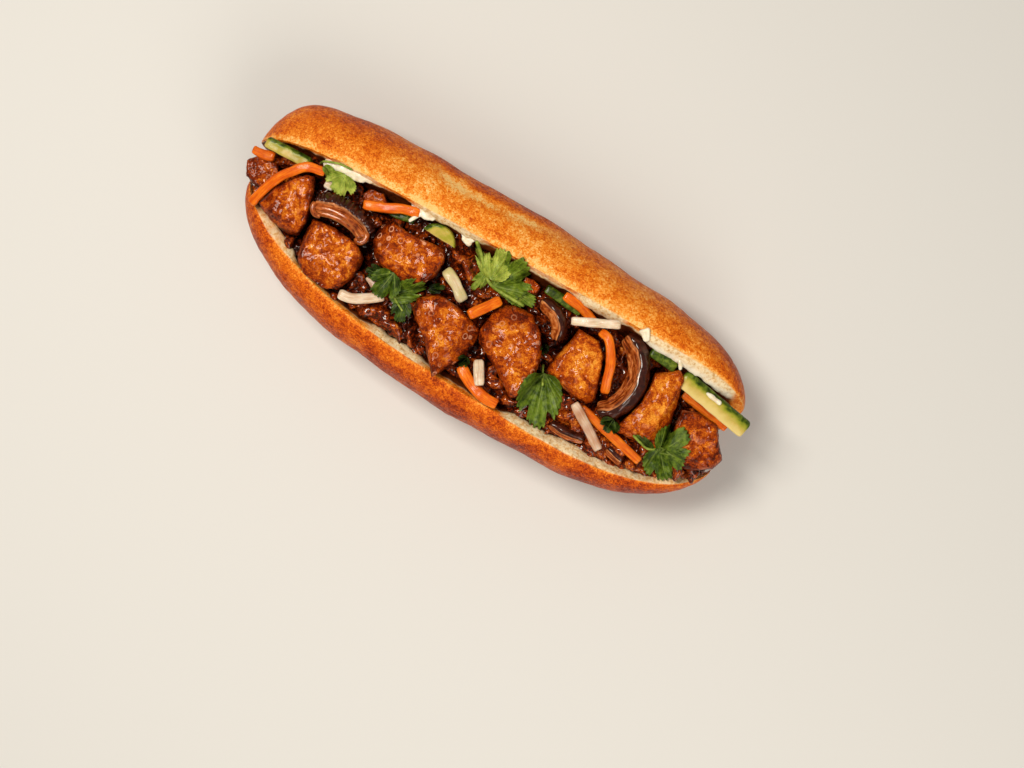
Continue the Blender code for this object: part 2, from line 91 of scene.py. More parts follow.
def catmull_rom(a, b, c, d, t):
    return 0.5 * (2 * b + (c - a) * t + (2 * a - 5 * b + 4 * c - d) * t * t
                  + (3 * b - a - 3 * c + d) * t * t * t)


def open_curve(points, count):
    """count points, evenly spaced, along a smooth curve through the given ones."""
    spots = [np.array(p, float) for p in points]
    spots = [2 * spots[0] - spots[1]] + spots + [2 * spots[-1] - spots[-2]]
    dense = [catmull_rom(*four, k / CURVE_STEPS)
             for four in zip(spots, spots[1:], spots[2:], spots[3:]) for k in range(CURVE_STEPS)]
    dense = np.array(dense + [spots[-2]])
    travelled = np.concatenate([[0], np.cumsum(np.linalg.norm(np.diff(dense, axis=0), axis=1))])
    even = np.linspace(0, travelled[-1], count)
    return np.stack([np.interp(even, travelled, column) for column in dense.T], 1)


def closed_curve(corners, count, crisp=0.0):
    """count points along a closed curve through the corners: smooth, or straighter if crisp."""
    spots = [np.array(c, float) for c in corners]
    points = []
    for i in range(count):
        at = i * len(spots) / count
        k, t = int(at), at - int(at)
        a, b, c, d = (spots[(k + j) % len(spots)] for j in (-1, 0, 1, 2))
        points.append(mix(catmull_rom(a, b, c, d, t), mix(b, c, t), crisp))
    return np.array(points)


def route_length(route):
    return sum(dist(a, b) for a, b in zip(route, route[1:]))


def steps_along(route, step, least):
    """How many points to lay along a route, one to each step of it."""
    return max(least, int(route_length(route) / step))


# ---- meshes ----
class Shape:
    """A mesh being made: points in millimetres, faces, and one number a point for each look."""

    def __init__(self):
        self.points, self.faces, self.looks = [], [], {}

    def point(self, point, **looks):
        self.points.append(point)
        for name, value in looks.items():
            self.looks.setdefault(name, []).append(value)
        return len(self.points) - 1

    def skin(self, rings, first_hub, last_hub):
        """Faces between each ring and the next, and a fan round a hub at either end."""
        for one, two in zip(rings, rings[1:]):
            for i, corner in enumerate(one):
                j = (i + 1) % len(one)
                self.faces.append((corner, one[j], two[j], two[i]))
        for ring, hub in ((rings[0][::-1], first_hub), (rings[-1], last_hub)):
            self.faces += [(ring[i - 1], corner, hub) for i, corner in enumerate(ring)]

    def join(self, points, faces):
        """Takes in another mesh's points and faces."""
        first = len(self.points)
        self.points += points
        self.faces += [tuple(first + k for k in face) for face in faces]

    def absorb(self, other):
        """Takes in another shape, with its looks."""
        self.join(other.points, other.faces)
        for name, values in other.looks.items():
            self.looks[name] += values

    def loose_mesh(self):
        mesh = bpy.data.meshes.new("loose")
        mesh.from_pydata([tuple(p) for p in self.points], [], self.faces)
        mesh.update()
        return mesh

    def swell(self, amount):
        """Moves every point along its normal by amount(x, y, z, index), in millimetres."""
        mesh = self.loose_mesh()
        self.points = [np.array(p) + n * amount(*p, i)
                       for i, (p, n) in enumerate(zip(self.points, normals_of(mesh)))]
        bpy.data.meshes.remove(mesh)

    def roughen(self, depth, size, fine_size, seed=0.0):
        """Makes it uneven by that depth over that size, and a little over the finer one."""
        self.swell(lambda x, y, z, _: depth * ripple(x, y, z, size, seed)
                   + 0.10 * ripple(x, y, z, fine_size, seed))

    def finish(self, name, material, slot, *replaced):
        """Makes the piece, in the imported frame."""
        self.points = (np.array(self.points, float) + OFFSET) * MM
        mesh = self.loose_mesh()
        for look, values in self.looks.items():
            mesh.attributes.new(look, "FLOAT", "POINT").data.foreach_set("value", values)
        place(mesh, name, material, slot, *replaced)


def normals_of(mesh):
    normals = np.empty(len(mesh.vertices) * 3)
    mesh.vertex_normals.foreach_get("vector", normals)
    return normals.reshape(-1, 3)


def link(made):
    bpy.context.scene.collection.objects.link(made)
    return made


def place(mesh, name, material, slot, *replaced):
    """Makes a finished mesh one of the pieces, on the one body."""
    mesh.name = name
    mesh.materials.clear()
    mesh.materials.append(material)
    mesh.shade_smooth()
    mesh.update()
    made = link(bpy.data.objects.new(name, mesh))
    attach(made, "root")
    if replaced:
        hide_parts(*replaced)
    pieces.append(made)


def remeshed(shape, voxel, relax):
    """One even skin over everything in a shape that is in metres, slightly smoothed."""
    holder = link(bpy.data.objects.new("remesh", shape.loose_mesh()))
    skin = holder.modifiers.new("skin", "REMESH")
    skin.mode = "VOXEL"
    skin.voxel_size = voxel * MM
    relaxed = holder.modifiers.new("relax", "SMOOTH")
    relaxed.factor = 0.5
    relaxed.iterations = relax
    graph = bpy.context.evaluated_depsgraph_get()
    made = bpy.data.meshes.new_from_object(holder.evaluated_get(graph))
    bpy.data.objects.remove(holder)
    return made


def piece_tree():
    """One search tree over every piece made so far."""
    shape = Shape()
    for made in pieces:
        shape.join(*mesh_parts(made.data))
    return BVHTree.FromPolygons(shape.points, shape.faces)


def mesh_parts(mesh):
    return [v.co.copy() for v in mesh.vertices], [tuple(p.vertices) for p in mesh.polygons]


# ---- materials ----
class Paint:
    """A procedural material being made: each method adds a node and returns its output."""

    def __init__(self, name, coat=(0, 0), glow=(0, 0, (1, 1, 1)), **settings):
        """coat is the wet coat's weight and roughness, and glow is how light spreads inside:
        its weight, its scale in millimetres and each colour's share of that."""
        self.material = bpy.data.materials.new(name)
        self.material.use_nodes = True
        self.tree = self.material.node_tree
        self.place = self.add("TexCoord").outputs["Object"]
        self.set(Coat_Weight=coat[0], Coat_Roughness=coat[1], Subsurface_Weight=glow[0],
                 Subsurface_Scale=glow[1] * MM, Subsurface_Radius=glow[2], **settings)

    def put(self, socket, value):
        if isinstance(value, bpy.types.NodeSocket):
            self.tree.links.new(value, socket)
        else:
            socket.default_value = value

    def add(self, kind, inputs=None, **settings):
        node = self.tree.nodes.new("ShaderNode" + kind)
        for key, value in settings.items():
            setattr(node, key, value)
        for key, value in (inputs or {}).items():
            self.put(node.inputs[key], value)
        return node

    def set(self, **settings):
        """Sets the shader's own sockets: Base_Color stands for Base Color, and so on."""
        for key, value in settings.items():
            self.put(self.tree.nodes["Principled BSDF"].inputs[key.replace("_", " ")], value)

    def noise(self, size_mm, detail, roughness=0.5, distortion=0.0, where=None):
        inputs = {"Vector": where or self.place, "Scale": 1 / (size_mm * MM), "Detail": detail,
                  "Roughness": roughness, "Distortion": distortion}
        return self.add("TexNoise", inputs).outputs["Fac"]

    def cells(self, size_mm, feature, randomness=1.0):
        inputs = {"Vector": self.place, "Scale": 1 / (size_mm * MM), "Randomness": randomness}
        return self.add("TexVoronoi", inputs, feature=feature).outputs["Distance"]

    def look(self, name):
        return self.add("Attribute", attribute_name=name).outputs["Fac"]

    def math(self, operation, a, b=0.0, clamp=False):
        return self.add("Math", {0: a, 1: b}, operation=operation, use_clamp=clamp).outputs[0]

    def total(self, first, *others):
        for other in others:
            first = self.math("ADD", first, other)
        return first

    def times(self, a, b, clamp=False):
        return self.math("MULTIPLY", a, b, clamp)

    def fit(self, value, low, high, to_low=0.0, to_high=1.0):
        inputs = {"Value": value, "From Min": low, "From Max": high,
                  "To Min": to_low, "To Max": to_high}
        return self.add("MapRange", inputs, interpolation_type="SMOOTHSTEP").outputs["Result"]

    def grain(self, size_mm, detail, to_low, to_high, fine=(), span=(0.3, 0.7)):
        """Noise from to_low to to_high; fine is its roughness, and its distortion if it has one."""
        return self.fit(self.noise(size_mm, detail, *fine), *span, to_low, to_high)

    def squiggles(self, size_mm, width, low, high):
        """Fine wandering lines of painted highlight: low along their middles, and high between them.
        """
        wander = self.math("SUBTRACT", self.noise(size_mm, 2, 0.5, 1.6), 0.5)
        return self.fit(self.math("ABSOLUTE", wander), 0.0, width, low, high)

    def fibres(self, across, along, distortion, third=0.0):
        """Streaks along a piece, as many across it and along it as these say."""
        where = self.add("CombineXYZ", {"X": self.times(self.look("across"), across),
                                        "Y": self.times(self.look("travel"), along), "Z": third})
        return self.noise(1 / MM, 3, 0.6, distortion, where.outputs["Vector"])

    def ramp(self, value, *stops):
        """Colours along a line; each stop is its place and its red, green and blue."""
        node = self.add("ValToRGB", {"Fac": value})
        line = node.color_ramp
        line.elements[0].position, line.elements[1].position = stops[0][0], stops[-1][0]
        for stop in stops[1:-1]:
            line.elements.new(stop[0])
        for element, stop in zip(line.elements, stops):
            element.color = (*stop[1:], 1.0)
        return node.outputs["Color"]

    def blend(self, share, a, b):
        node = self.add("Mix", data_type="RGBA")
        for index, value in ((0, share), (6, a), (7, b)):
            self.put(node.inputs[index], (*value, 1.0) if isinstance(value, tuple) else value)
        return node.outputs[2]

    def finish(self, colour, roughness, height, depth_mm):
        """Sets the colour, the gloss and the relief, and gives the finished material."""
        inputs = {"Height": height, "Distance": depth_mm * MM, "Strength": 1.0}
        relief = self.add("Bump", inputs).outputs["Normal"]
        self.set(Base_Color=colour, Roughness=roughness, Normal=relief)
        return self.material


# A sticky brown glaze, seen through its own thickness.
GLAZE = {"Coat_Tint": (1, 0.80, 0.62, 1), "Specular_IOR_Level": 0.05}


def crust_paint():
    """Baked crust with a leathery speckle and painted highlight lines, and the open crumb, with
    painted shade in its pores, where it is cut.
    """
    paint = Paint("baked_bread", Specular_IOR_Level=0.10)
    # The crust's tone and speckle, and painted highlight lines along its wrinkles, which stand for its
    # paler blistered ridges as well.
    baked = paint.total(paint.look("tone"), paint.grain(14, 3, -0.12, 0.12),
                        paint.grain(3.4, 3, -0.09, 0.10, (0.6, 0.6), (0.32, 0.68)),
                        paint.grain(1.15, 3, -0.20, 0.24, (0.65, 1.2), (0.34, 0.68)),
                        paint.squiggles(2.4, 0.03, -0.12, 0.02))
    crust = paint.ramp(baked, (0, 0.97, 0.59, 0.20), (0.2, 0.94, 0.355, 0.042),
                       (0.4, 0.82, 0.200, 0.008), (0.6, 0.64, 0.105, 0.003),
                       (0.8, 0.42, 0.048, 0.002), (1, 0.19, 0.017, 0.001))
    # Painted shade darkens the crumb in its pores, which the relief does not carve.
    holes = paint.fit(paint.cells(2.2, "SMOOTH_F1"), 0.05, 0.40)
    torn = paint.times(paint.total(holes, 0.40), paint.grain(1.5, 4, 0, 1, (0.7,)), clamp=True)
    crumb = paint.ramp(torn, (0, 0.58, 0.30, 0.10), (0.35, 0.76, 0.50, 0.24),
                       (1, 0.88, 0.71, 0.45))
    spread = paint.times(paint.look("mayo"), paint.grain(4, 3, 0.4, 1, span=(0.35, 0.5)))
    smeared = paint.blend(spread, crumb, (0.90, 0.81, 0.64))
    stained = paint.blend(paint.look("sauce"), smeared, (0.15, 0.028, 0.004))
    colour = paint.blend(paint.fit(paint.look("crust"), 0.12, 0.88), stained, crust)
    wrinkles = paint.total(paint.noise(1, 4, 0.65, 1), paint.noise(2.6, 3, 0.6, 0.6))
    return paint.finish(colour, paint.grain(2, 3, 0.32, 0.56), wrinkles, 0.34)


def tofu_paint():
    """Crisp fried tofu under a sticky glaze: amber faces with painted highlight lines, red-brown edges
    deepened by painted shade, trapped bubbles with painted highlights on their rims.
    """
    paint = Paint("glazed_fried_tofu", coat=(0.33, 0.07), Coat_IOR=1.45, **GLAZE)
    # Painted highlight lines wander over the glaze.
    mark = paint.total(paint.look("roast"), paint.squiggles(2.6, 0.035, -0.19, 0.03),
                       paint.grain(5, 3, -0.22, 0.24, (0.6, 0.8), (0.32, 0.70)),
                       paint.grain(1.35, 3, -0.14, 0.15, (0.66, 2.2), (0.36, 0.66)))
    amber = paint.ramp(mark, (0, 0.95, 0.42, 0.050), (0.17, 0.76, 0.210, 0.009),
                       (0.36, 0.51, 0.086, 0.002), (0.56, 0.28, 0.033, 0.001),
                       (0.78, 0.10, 0.010, 0.001), (1, 0.026, 0.003, 0.001))
    # Glaze bubbles: their rings are raised in the relief, and painted pale pink as the highlight on
    # each rim.
    ring = paint.cells(4.4, "F1", 0.9)
    rings = paint.times(paint.fit(ring, 0.19, 0.26), paint.fit(ring, 0.37, 0.29))
    foam = paint.times(rings, paint.look("foam"), clamp=True)
    colour = paint.blend(paint.times(foam, 0.95), amber, (0.95, 0.46, 0.27))
    skin = paint.total(paint.noise(2, 4, 0.62, 0.9), paint.times(paint.noise(0.9, 3, 0.65, 1.2), 0.8),
                       paint.times(foam, 0.5))
    return paint.finish(colour, paint.grain(2.2, 3, 0.34, 0.60), skin, 0.60)


def mince_paint():
    """Caramelised mince, red-brown and wet, with painted shade that leaves it nearly black in its
    hollows and low down, and painted light on its raised shreds.
    """
    paint = Paint("caramelised_mince", coat=(0.8, 0.05), **GLAZE)
    mark = paint.total(paint.look("raised"),
                       paint.grain(2, 4, -0.36, 0.36, (0.68, 1.6), (0.34, 0.68)))
    colour = paint.ramp(mark, (0, 0.014, 0.002, 0.001), (0.28, 0.085, 0.010, 0.001),
                        (0.52, 0.26, 0.034, 0.002), (0.76, 0.52, 0.105, 0.006),
                        (1, 0.82, 0.30, 0.040))
    return paint.finish(colour, paint.grain(1.6, 2, 0.28, 0.52), paint.noise(1.1, 4, 0.72, 1.4), 0.90)


def shiitake_paint():
    """Braised shiitake: a dark shiny cap, and tan flesh with fine wavy fibres along it and painted
    highlight lines along its rims.
    """
    paint = Paint("braised_shiitake", coat=(0.9, 0.10), **GLAZE)
    cap = paint.ramp(paint.noise(2.4, 4, 0.6, 0.5), (0.25, 0.012, 0.003, 0.002),
                     (0.55, 0.050, 0.010, 0.006), (0.85, 0.18, 0.05, 0.028))
    fibres = paint.fibres(4.6, 0.16, 0.9)
    mark = paint.total(paint.fit(fibres, 0.34, 0.66, -0.34, 0.30),
                       paint.grain(2.6, 3, 0.32, 0.62, (0.6,)))
    flesh = paint.ramp(paint.math("SUBTRACT", mark, paint.look("deep")),
                       (0, 0.065, 0.010, 0.002), (0.3, 0.25, 0.050, 0.008),
                       (0.6, 0.50, 0.145, 0.032), (1, 0.82, 0.42, 0.16))
    # Painted highlight lines along the rims, in pale tan.
    flesh = paint.blend(paint.times(paint.look("edge"), 0.75), flesh, (0.86, 0.50, 0.24))
    colour = paint.blend(paint.fit(paint.look("skin"), 0.35, 0.65), flesh, cap)
    folds = paint.total(paint.noise(1.3, 4, 0.65, 0.5), paint.times(fibres, 0.5))
    return paint.finish(colour, paint.grain(1.5, 2, 0.30, 0.55), folds, 0.6)


def root_paint(name, deep, mid, pale):
    """A wet stick of pickled root, streaked along its length, and stained or green in places."""
    paint = Paint(name, coat=(0.25, 0.12), glow=(0.2, 2, (1, 0.5, 0.25)), Specular_IOR_Level=0.10)
    streaks = paint.fibres(1.6, 0.12, 0.4, paint.look("number"))
    mark = paint.total(paint.fit(streaks, 0.3, 0.7, 0, 0.75), paint.grain(4, 2, -0.12, 0.22))
    clean = paint.ramp(mark, (0.05, *deep), (0.45, *mid), (0.95, *pale))
    green = paint.blend(paint.look("green"), clean, (0.60, 0.54, 0.22))
    colour = paint.blend(paint.look("stain"), green, (0.36, 0.085, 0.015))
    return paint.finish(colour, paint.grain(1.8, 2, 0.30, 0.50), paint.noise(1.2, 3, 0.6), 0.22)


def cucumber_paint():
    """Cucumber: dark mottled skin, a bright green rim under it, and pale watery flesh."""
    paint = Paint("cucumber", coat=(0.18, 0.14), glow=(0.15, 2, (0.6, 1, 0.3)),
                  Specular_IOR_Level=0.10)
    skin = paint.ramp(paint.noise(3, 3, 0.6, 0.6), (0.32, 0.012, 0.026, 0.002),
                      (0.50, 0.055, 0.090, 0.005), (0.70, 0.19, 0.25, 0.022))
    depth = paint.total(paint.look("skin"), paint.grain(3.4, 3, -0.07, 0.07))
    flesh = paint.ramp(depth, (0, 0.74, 0.57, 0.23), (0.22, 0.70, 0.54, 0.18),
                       (0.45, 0.58, 0.42, 0.095), (0.62, 0.34, 0.32, 0.025),
                       (0.74, 0.13, 0.17, 0.007))
    colour = paint.blend(paint.fit(depth, 0.70, 0.80), flesh, skin)
    return paint.finish(colour, paint.grain(1.5, 2, 0.30, 0.52), paint.noise(1.2, 3, 0.6), 0.24)


def leaf_paint():
    """Cilantro leaf: mid green with paler veins, brighter where it is young."""
    paint = Paint("cilantro_leaf", coat=(0.08, 0.25), glow=(0.12, 1, (0.4, 1, 0.2)),
                  Specular_IOR_Level=0.2)
    mark = paint.total(paint.look("young"), paint.grain(2.4, 3, -0.16, 0.16))
    blade = paint.ramp(mark, (0, 0.004, 0.012, 0.001), (0.3, 0.040, 0.075, 0.003),
                       (0.6, 0.150, 0.220, 0.014), (1, 0.46, 0.52, 0.085))
    vein = paint.look("vein")
    colour = paint.blend(paint.times(vein, 0.30), blade, (0.36, 0.46, 0.10))
    relief = paint.total(paint.times(vein, -0.7), paint.noise(1.3, 3))
    return paint.finish(colour, 0.45, relief, 0.42)


def mayonnaise_paint():
    paint = Paint("mayonnaise", coat=(0.35, 0.15), glow=(0.3, 1.5, (1, 0.8, 0.5)))
    colour = paint.ramp(paint.noise(3, 3), (0.25, 0.70, 0.54, 0.34), (0.5, 0.87, 0.77, 0.58),
                        (0.8, 0.95, 0.89, 0.74))
    return paint.finish(colour, paint.grain(1.6, 2, 0.28, 0.48), paint.noise(1.6, 3), 0.3)


# ---- the bread ----
def taper(u, power, root):
    return max(0.0, 1.0 - abs(u) ** power) ** root


def lid_rim_y(u):
    return 26.2 + 6.5 * u - 2.0 * u * u - 7.0 * abs(u) ** (10 if u < 0 else 14)


def base_rim_y(u):
    return -7.0 - 30.5 * (taper(u, 2.6, 0.72) if u < 0 else taper(u, 3.8, 0.65))


def lid_reach(u):
    end = taper(u, 20, 0.5) if u < 0 else taper(u, 7, 0.6)
    return (LID_THICKNESS - 5.0 * u - 5.5 * u * u) * end


def base_reach(u):
    narrowing = 3.8 if u < 0 else 5.0
    return (BASE_THICKNESS - 1.5 * u - narrowing * u * u) * taper(u, 14, 0.5)


def underside_height(u):
    past_foot = max(0.0, (abs(u) - FOOT_REACH) / (1.0 - FOOT_REACH))
    return TIP_HEIGHT * past_foot ** 2.4


class Half(SimpleNamespace):
    """One half of the roll; u runs from -1 to 1 along it."""

    def x(self, u, inwards=0.0):
        own = self.middle_x + self.half_length * u
        mean = (LID_MIDDLE_X + BASE_MIDDLE_X + (LID_HALF_LENGTH + BASE_HALF_LENGTH) * u) / 2
        return own + (mean - own) * inwards * taper(u, 6, 1.0)

    def top(self, u):
        return TIP_HEIGHT + (self.rim_height - TIP_HEIGHT) * taper(u, 6, 0.5)

    def cut_y(self, u, z):
        up = max(0.0, (z - CUT_FLOOR) / (self.top(u) - CUT_FLOOR))
        return HINGE_Y + (self.rim_y(u) - HINGE_Y) * up ** self.lean(u)

    def crust(self, u, steps):
        """Points over the crust, from the rim out to the widest level and round to the foot."""
        rim_y, top, x = self.rim_y(u), self.top(u), self.x(u)
        wavy = 0.5 * (sin(0.083 * x + 1.0) + 0.5 * sin(0.21 * x)) * taper(u, 6, 1.0)
        widest = rim_y + self.side * (self.reach(u) + wavy)
        foot_z = underside_height(u)
        foot_y = HINGE_Y if foot_z < CUT_FLOOR else self.cut_y(u, foot_z)
        points = []
        for step in range(2 * steps + 1):
            turn = pi / 2 * (step if step <= steps else step - steps) / steps
            if step <= steps:
                y = rim_y + (widest - rim_y) * sin(turn) ** 0.9
                z = TIP_HEIGHT + (top - TIP_HEIGHT) * cos(turn) ** 0.9
            else:
                y = foot_y + (widest - foot_y) * cos(turn) ** 0.76
                z = TIP_HEIGHT - (TIP_HEIGHT - foot_z) * sin(turn) ** 0.76
                lowered = max(0.0, z - FLAT_FOOT) * TIP_HEIGHT / (TIP_HEIGHT - FLAT_FOOT)
                z = max(foot_z, lowered)
            points.append((self.x(u, (step / (2 * steps)) ** 2), y, z))
        return points

    def cut_face(self, u, steps):
        """Points up the cut face, from the floor of the cut, or the foot, to just under the rim."""
        low = max(CUT_FLOOR, underside_height(u))
        heights = [low + (self.top(u) - low) * sin(pi / 2 * step / steps) for step in range(steps)]
        return [(self.x(u, 1.0 - step / steps), self.cut_y(u, z), z)
                for step, z in enumerate(heights)]


LID = Half(name="lid", middle_x=LID_MIDDLE_X, half_length=LID_HALF_LENGTH, rim_y=lid_rim_y,
           reach=lid_reach, rim_height=LID_RIM_HEIGHT, side=1,
           lean=lambda u: 0.34 + 0.36 * max(0.0, u) ** 2)
BASE = Half(name="base", middle_x=BASE_MIDDLE_X, half_length=BASE_HALF_LENGTH, rim_y=base_rim_y,
            reach=base_reach, rim_height=BASE_RIM_HEIGHT, side=-1, lean=lambda _: 0.5)


def packed_offset():
    """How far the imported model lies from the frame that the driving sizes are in."""
    stations = [sin(pi / 2 * (2 * k / MODEL_STATIONS - 1)) for k in range(1, MODEL_STATIONS)]
    lid_back = max(p[1] for u in stations for p in LID.crust(u, MODEL_ARC_STEPS))
    low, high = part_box("bread")
    tip_x = LID_MIDDLE_X - LID_HALF_LENGTH
    return np.array((low.x / MM - tip_x, high.y / MM - lid_back, low.z / MM))


OFFSET = packed_offset()


def packed(x, y, z):
    """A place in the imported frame, in metres, from one in the driving sizes' frame."""
    return (Vector((x, y, z)) + Vector(OFFSET)) * MM


BREAD_STATIONS, CRUST_STEPS, CUT_STEPS = 360, 40, 30
# Stretches where soft crumb bulges over the cut: each half's start and end x, and how far out.
OPEN_CRUMB = {"base": ((-115, -80, 3.6), (-44, -4, 1.6), (28, 76, 1.9), (58, 121, 1.9),
                       (103, 127, 2.4)),
              "lid": ((-98, -62, 0.9), (-56, -8, 1.3), (0, 34, 0.8), (28, 62, 2.4), (62, 121, 3.3))}
OPEN_FULLY = 1.6
MAYO_ON_LID = (66, 121)     # where mayonnaise coats the lid's crumb
LIP_DEPTH = 7.5             # how far below the rim the bulge ends
RIM_SHARE = 0.2             # the share of the crust's way round where crumb may show
BAKED = {"crust": 1.0, "tone": 0.7, "sauce": 0.0, "mayo": 0.0}
SAUCED = {"crust": 0.0, "tone": 0.42, "sauce": 1.0, "mayo": 0.0}


def stretch(start, end, edge, x):
    """1 from start to end along the roll, and 0 outside, easing over edge millimetres inside."""
    return ease(start, start + edge, x) * ease(end, end - edge, x)


def score_mark(x, y):
    """The slash in the lid: how far inside its pale opened band, and its dark raised lip."""
    share = (x + 50) / 60
    middle = 43.0 - 3.6 * sin(pi * clamp(share) ** 0.62) + 2.6 * share
    window = ease(-0.2, 0.1, share) * ease(1.2, 0.85, share)
    off = y - middle
    return window * exp(-(off / 2.0) ** 2), window * ease(0.8, 3.4, off)


def baked_tone(half, u, along, x, y):
    """How dark the crust is, from 0, pale gold, to 1, nearly burnt."""
    ends = ease(0.45, 1.0, abs(u))
    if half is LID:
        band, lip = score_mark(x, y)
        tone = mix(0.35, 0.58, ease(0.14, 0.47, along)) - 0.30 * ease(0.055, 0.01, along)
        tone += 0.16 * ends + 0.16 * lip - 0.30 * band
    else:
        tone = mix(0.62, 0.76, ease(0.10, 0.4, along)) - 0.26 * ease(0.06, 0.0, along)
        tone += 0.04 * ends + 0.06 * ease(-60, 40, x) - 0.16 * ease(102, 124, x)
    return tone + 0.10 * ripple(x, y, 0, 26, 3.0)


def crumb_reach(half, x):
    """How far the crumb bulges past the rim here, in millimetres."""
    return sum(reach * stretch(start, end, 12, x) for start, end, reach in OPEN_CRUMB[half.name])


def crust_edge(half, x, y, rim_y):
    """0 where the roll's rim still shows crumb, and 1 where it is crust."""
    out = 0.18 * crumb_reach(half, x) * (1 + 0.6 * ripple(x, y, 0, 7.0, 8.0)) - 0.3
    return ease(-1.0, 0.9, half.side * (y - rim_y) - out)


def crumb_lip(half, x, fall):
    """How far the soft crumb bulges from the cut face, this far below the rim."""
    swell = (0.4 + 0.9 * crumb_reach(half, x)) * (1 + 0.22 * ripple(x, 0, 0, 8.0, 4.0))
    return swell * sin(pi * min(1.0, fall / LIP_DEPTH)) ** 0.8


def cut_looks(half, u, x, z, fall):
    """The cut face: crust that curls over where no crumb shows, and sauce further down."""
    opened = min(1.0, crumb_reach(half, x) / OPEN_FULLY)
    wet = 1.3 * rough(x, z, 0, 6.0, 2, 5.0)
    curl_depth = 2.4 + 7.0 * ease(0.86, 0.97, u)
    curl = (1 - opened) * ease(curl_depth + 1, curl_depth - 1, fall)
    sauce = ease(mix(1.6, 3.6, opened), mix(3.4, 6.2, opened), fall + wet)
    if half is LID:
        mayo = stretch(*MAYO_ON_LID, 8, x) * ease(0.8, 2.4, fall)
        return {"crust": curl, "sauce": sauce, "tone": 0.42, "mayo": mayo}
    toasted = 0.42 * ease(-78, -96, x) + 0.30 * ease(60, 110, x)
    curl = max(curl, toasted * (1 + 0.5 * ripple(x, z, 0, 4.0, 9.0)))
    return {"crust": curl, "sauce": sauce, "tone": 0.26, "mayo": 0.0}


def bread_row(shape, u):
    """One section across the roll: whether its halves join, and each half's two rows of points."""
    row = []
    for half in (LID, BASE):
        crust, face = [], []
        for step, (x, y, z) in enumerate(half.crust(u, CRUST_STEPS)[:-1]):
            along = step / (2 * CRUST_STEPS)
            edge = crust_edge(half, x, y, half.rim_y(u)) if along < RIM_SHARE else 1.0
            looks = cut_looks(half, u, x, z, 0.0)
            looks.update(crust=max(looks["crust"], edge), tone=baked_tone(half, u, along, x, y))
            crust.append(shape.point((x, y, z), **looks))
        for x, y, z in half.cut_face(u, CUT_STEPS)[1:]:
            fall = half.top(u) - z
            at = (x, y - half.side * crumb_lip(half, x, fall), z)
            face.append(shape.point(at, **cut_looks(half, u, x, z, fall)))
        row.append((crust, face))
    joined = underside_height(u) < CUT_FLOOR
    feet = [shape.point(half.crust(u, CRUST_STEPS)[-1], **BAKED)
            for half in ((LID,) if joined else (LID, BASE))]
    floors = [shape.point(LID.cut_face(u, CUT_STEPS)[0], **SAUCED)] if joined else feet
    return joined, [(crust + [foot], [floor] + face + crust[:1])
                    for (crust, face), foot, floor in zip(row, 2 * feet, 2 * floors)]


def bread_relief(shape, x, y, z, i):
    crust = shape.looks["crust"][i]
    band, lip = score_mark(x, y) if z > 40 else (0.0, 0.0)
    skin = 0.35 * ripple(x, y, z, 14) + 0.16 * ripple(x, y, z, 4, 7.0) + 0.5 * (lip - band)
    torn = 0.7 * rough(x, y, z, 5.0, 3, 2.0)
    return ease(0.5, 3.0, z) * (skin if crust > 0.75 else mix(torn, 0.0, crust))


def make_bread(material):
    shape = Shape()
    rows = []
    for station in range(1, BREAD_STATIONS):
        even = 2 * station / BREAD_STATIONS - 1
        rows.append(bread_row(shape, 0.45 * even + 0.55 * sin(pi / 2 * even)))
    for (one_joined, one), (two_joined, two) in zip(rows, rows[1:]):
        for half, half_one, half_two in zip((LID, BASE), one, two):
            for strip_one, strip_two in zip(half_one, half_two):
                for a, b, c, d in zip(strip_one, strip_one[1:], strip_two[1:], strip_two):
                    shape.faces.append((a, d, c, b) if half is LID else (a, b, c, d))
        if one_joined != two_joined:
            whole, split = (one, two) if one_joined else (two, one)
            quad = (whole[0][0][-1], split[0][0][-1], whole[0][1][0], split[1][0][-1])
            shape.faces.append(quad if two_joined else quad[::-1])
    for (_, row), u in ((rows[0], -1.0), (rows[-1], 1.0)):
        for half, strips in zip((LID, BASE), row):
            tip = shape.point((half.x(u), half.rim_y(u), TIP_HEIGHT), **{**BAKED, "tone": 0.75})
            order = -1 if (u > 0) == (half is LID) else 1
            for strip in strips:
                shape.faces += [(*pair[::order], tip) for pair in zip(strip, strip[1:])]
    shape.swell(lambda *spot: bread_relief(shape, *spot))
    shape.finish("bread_roll", material, "bread_crust", "bread")
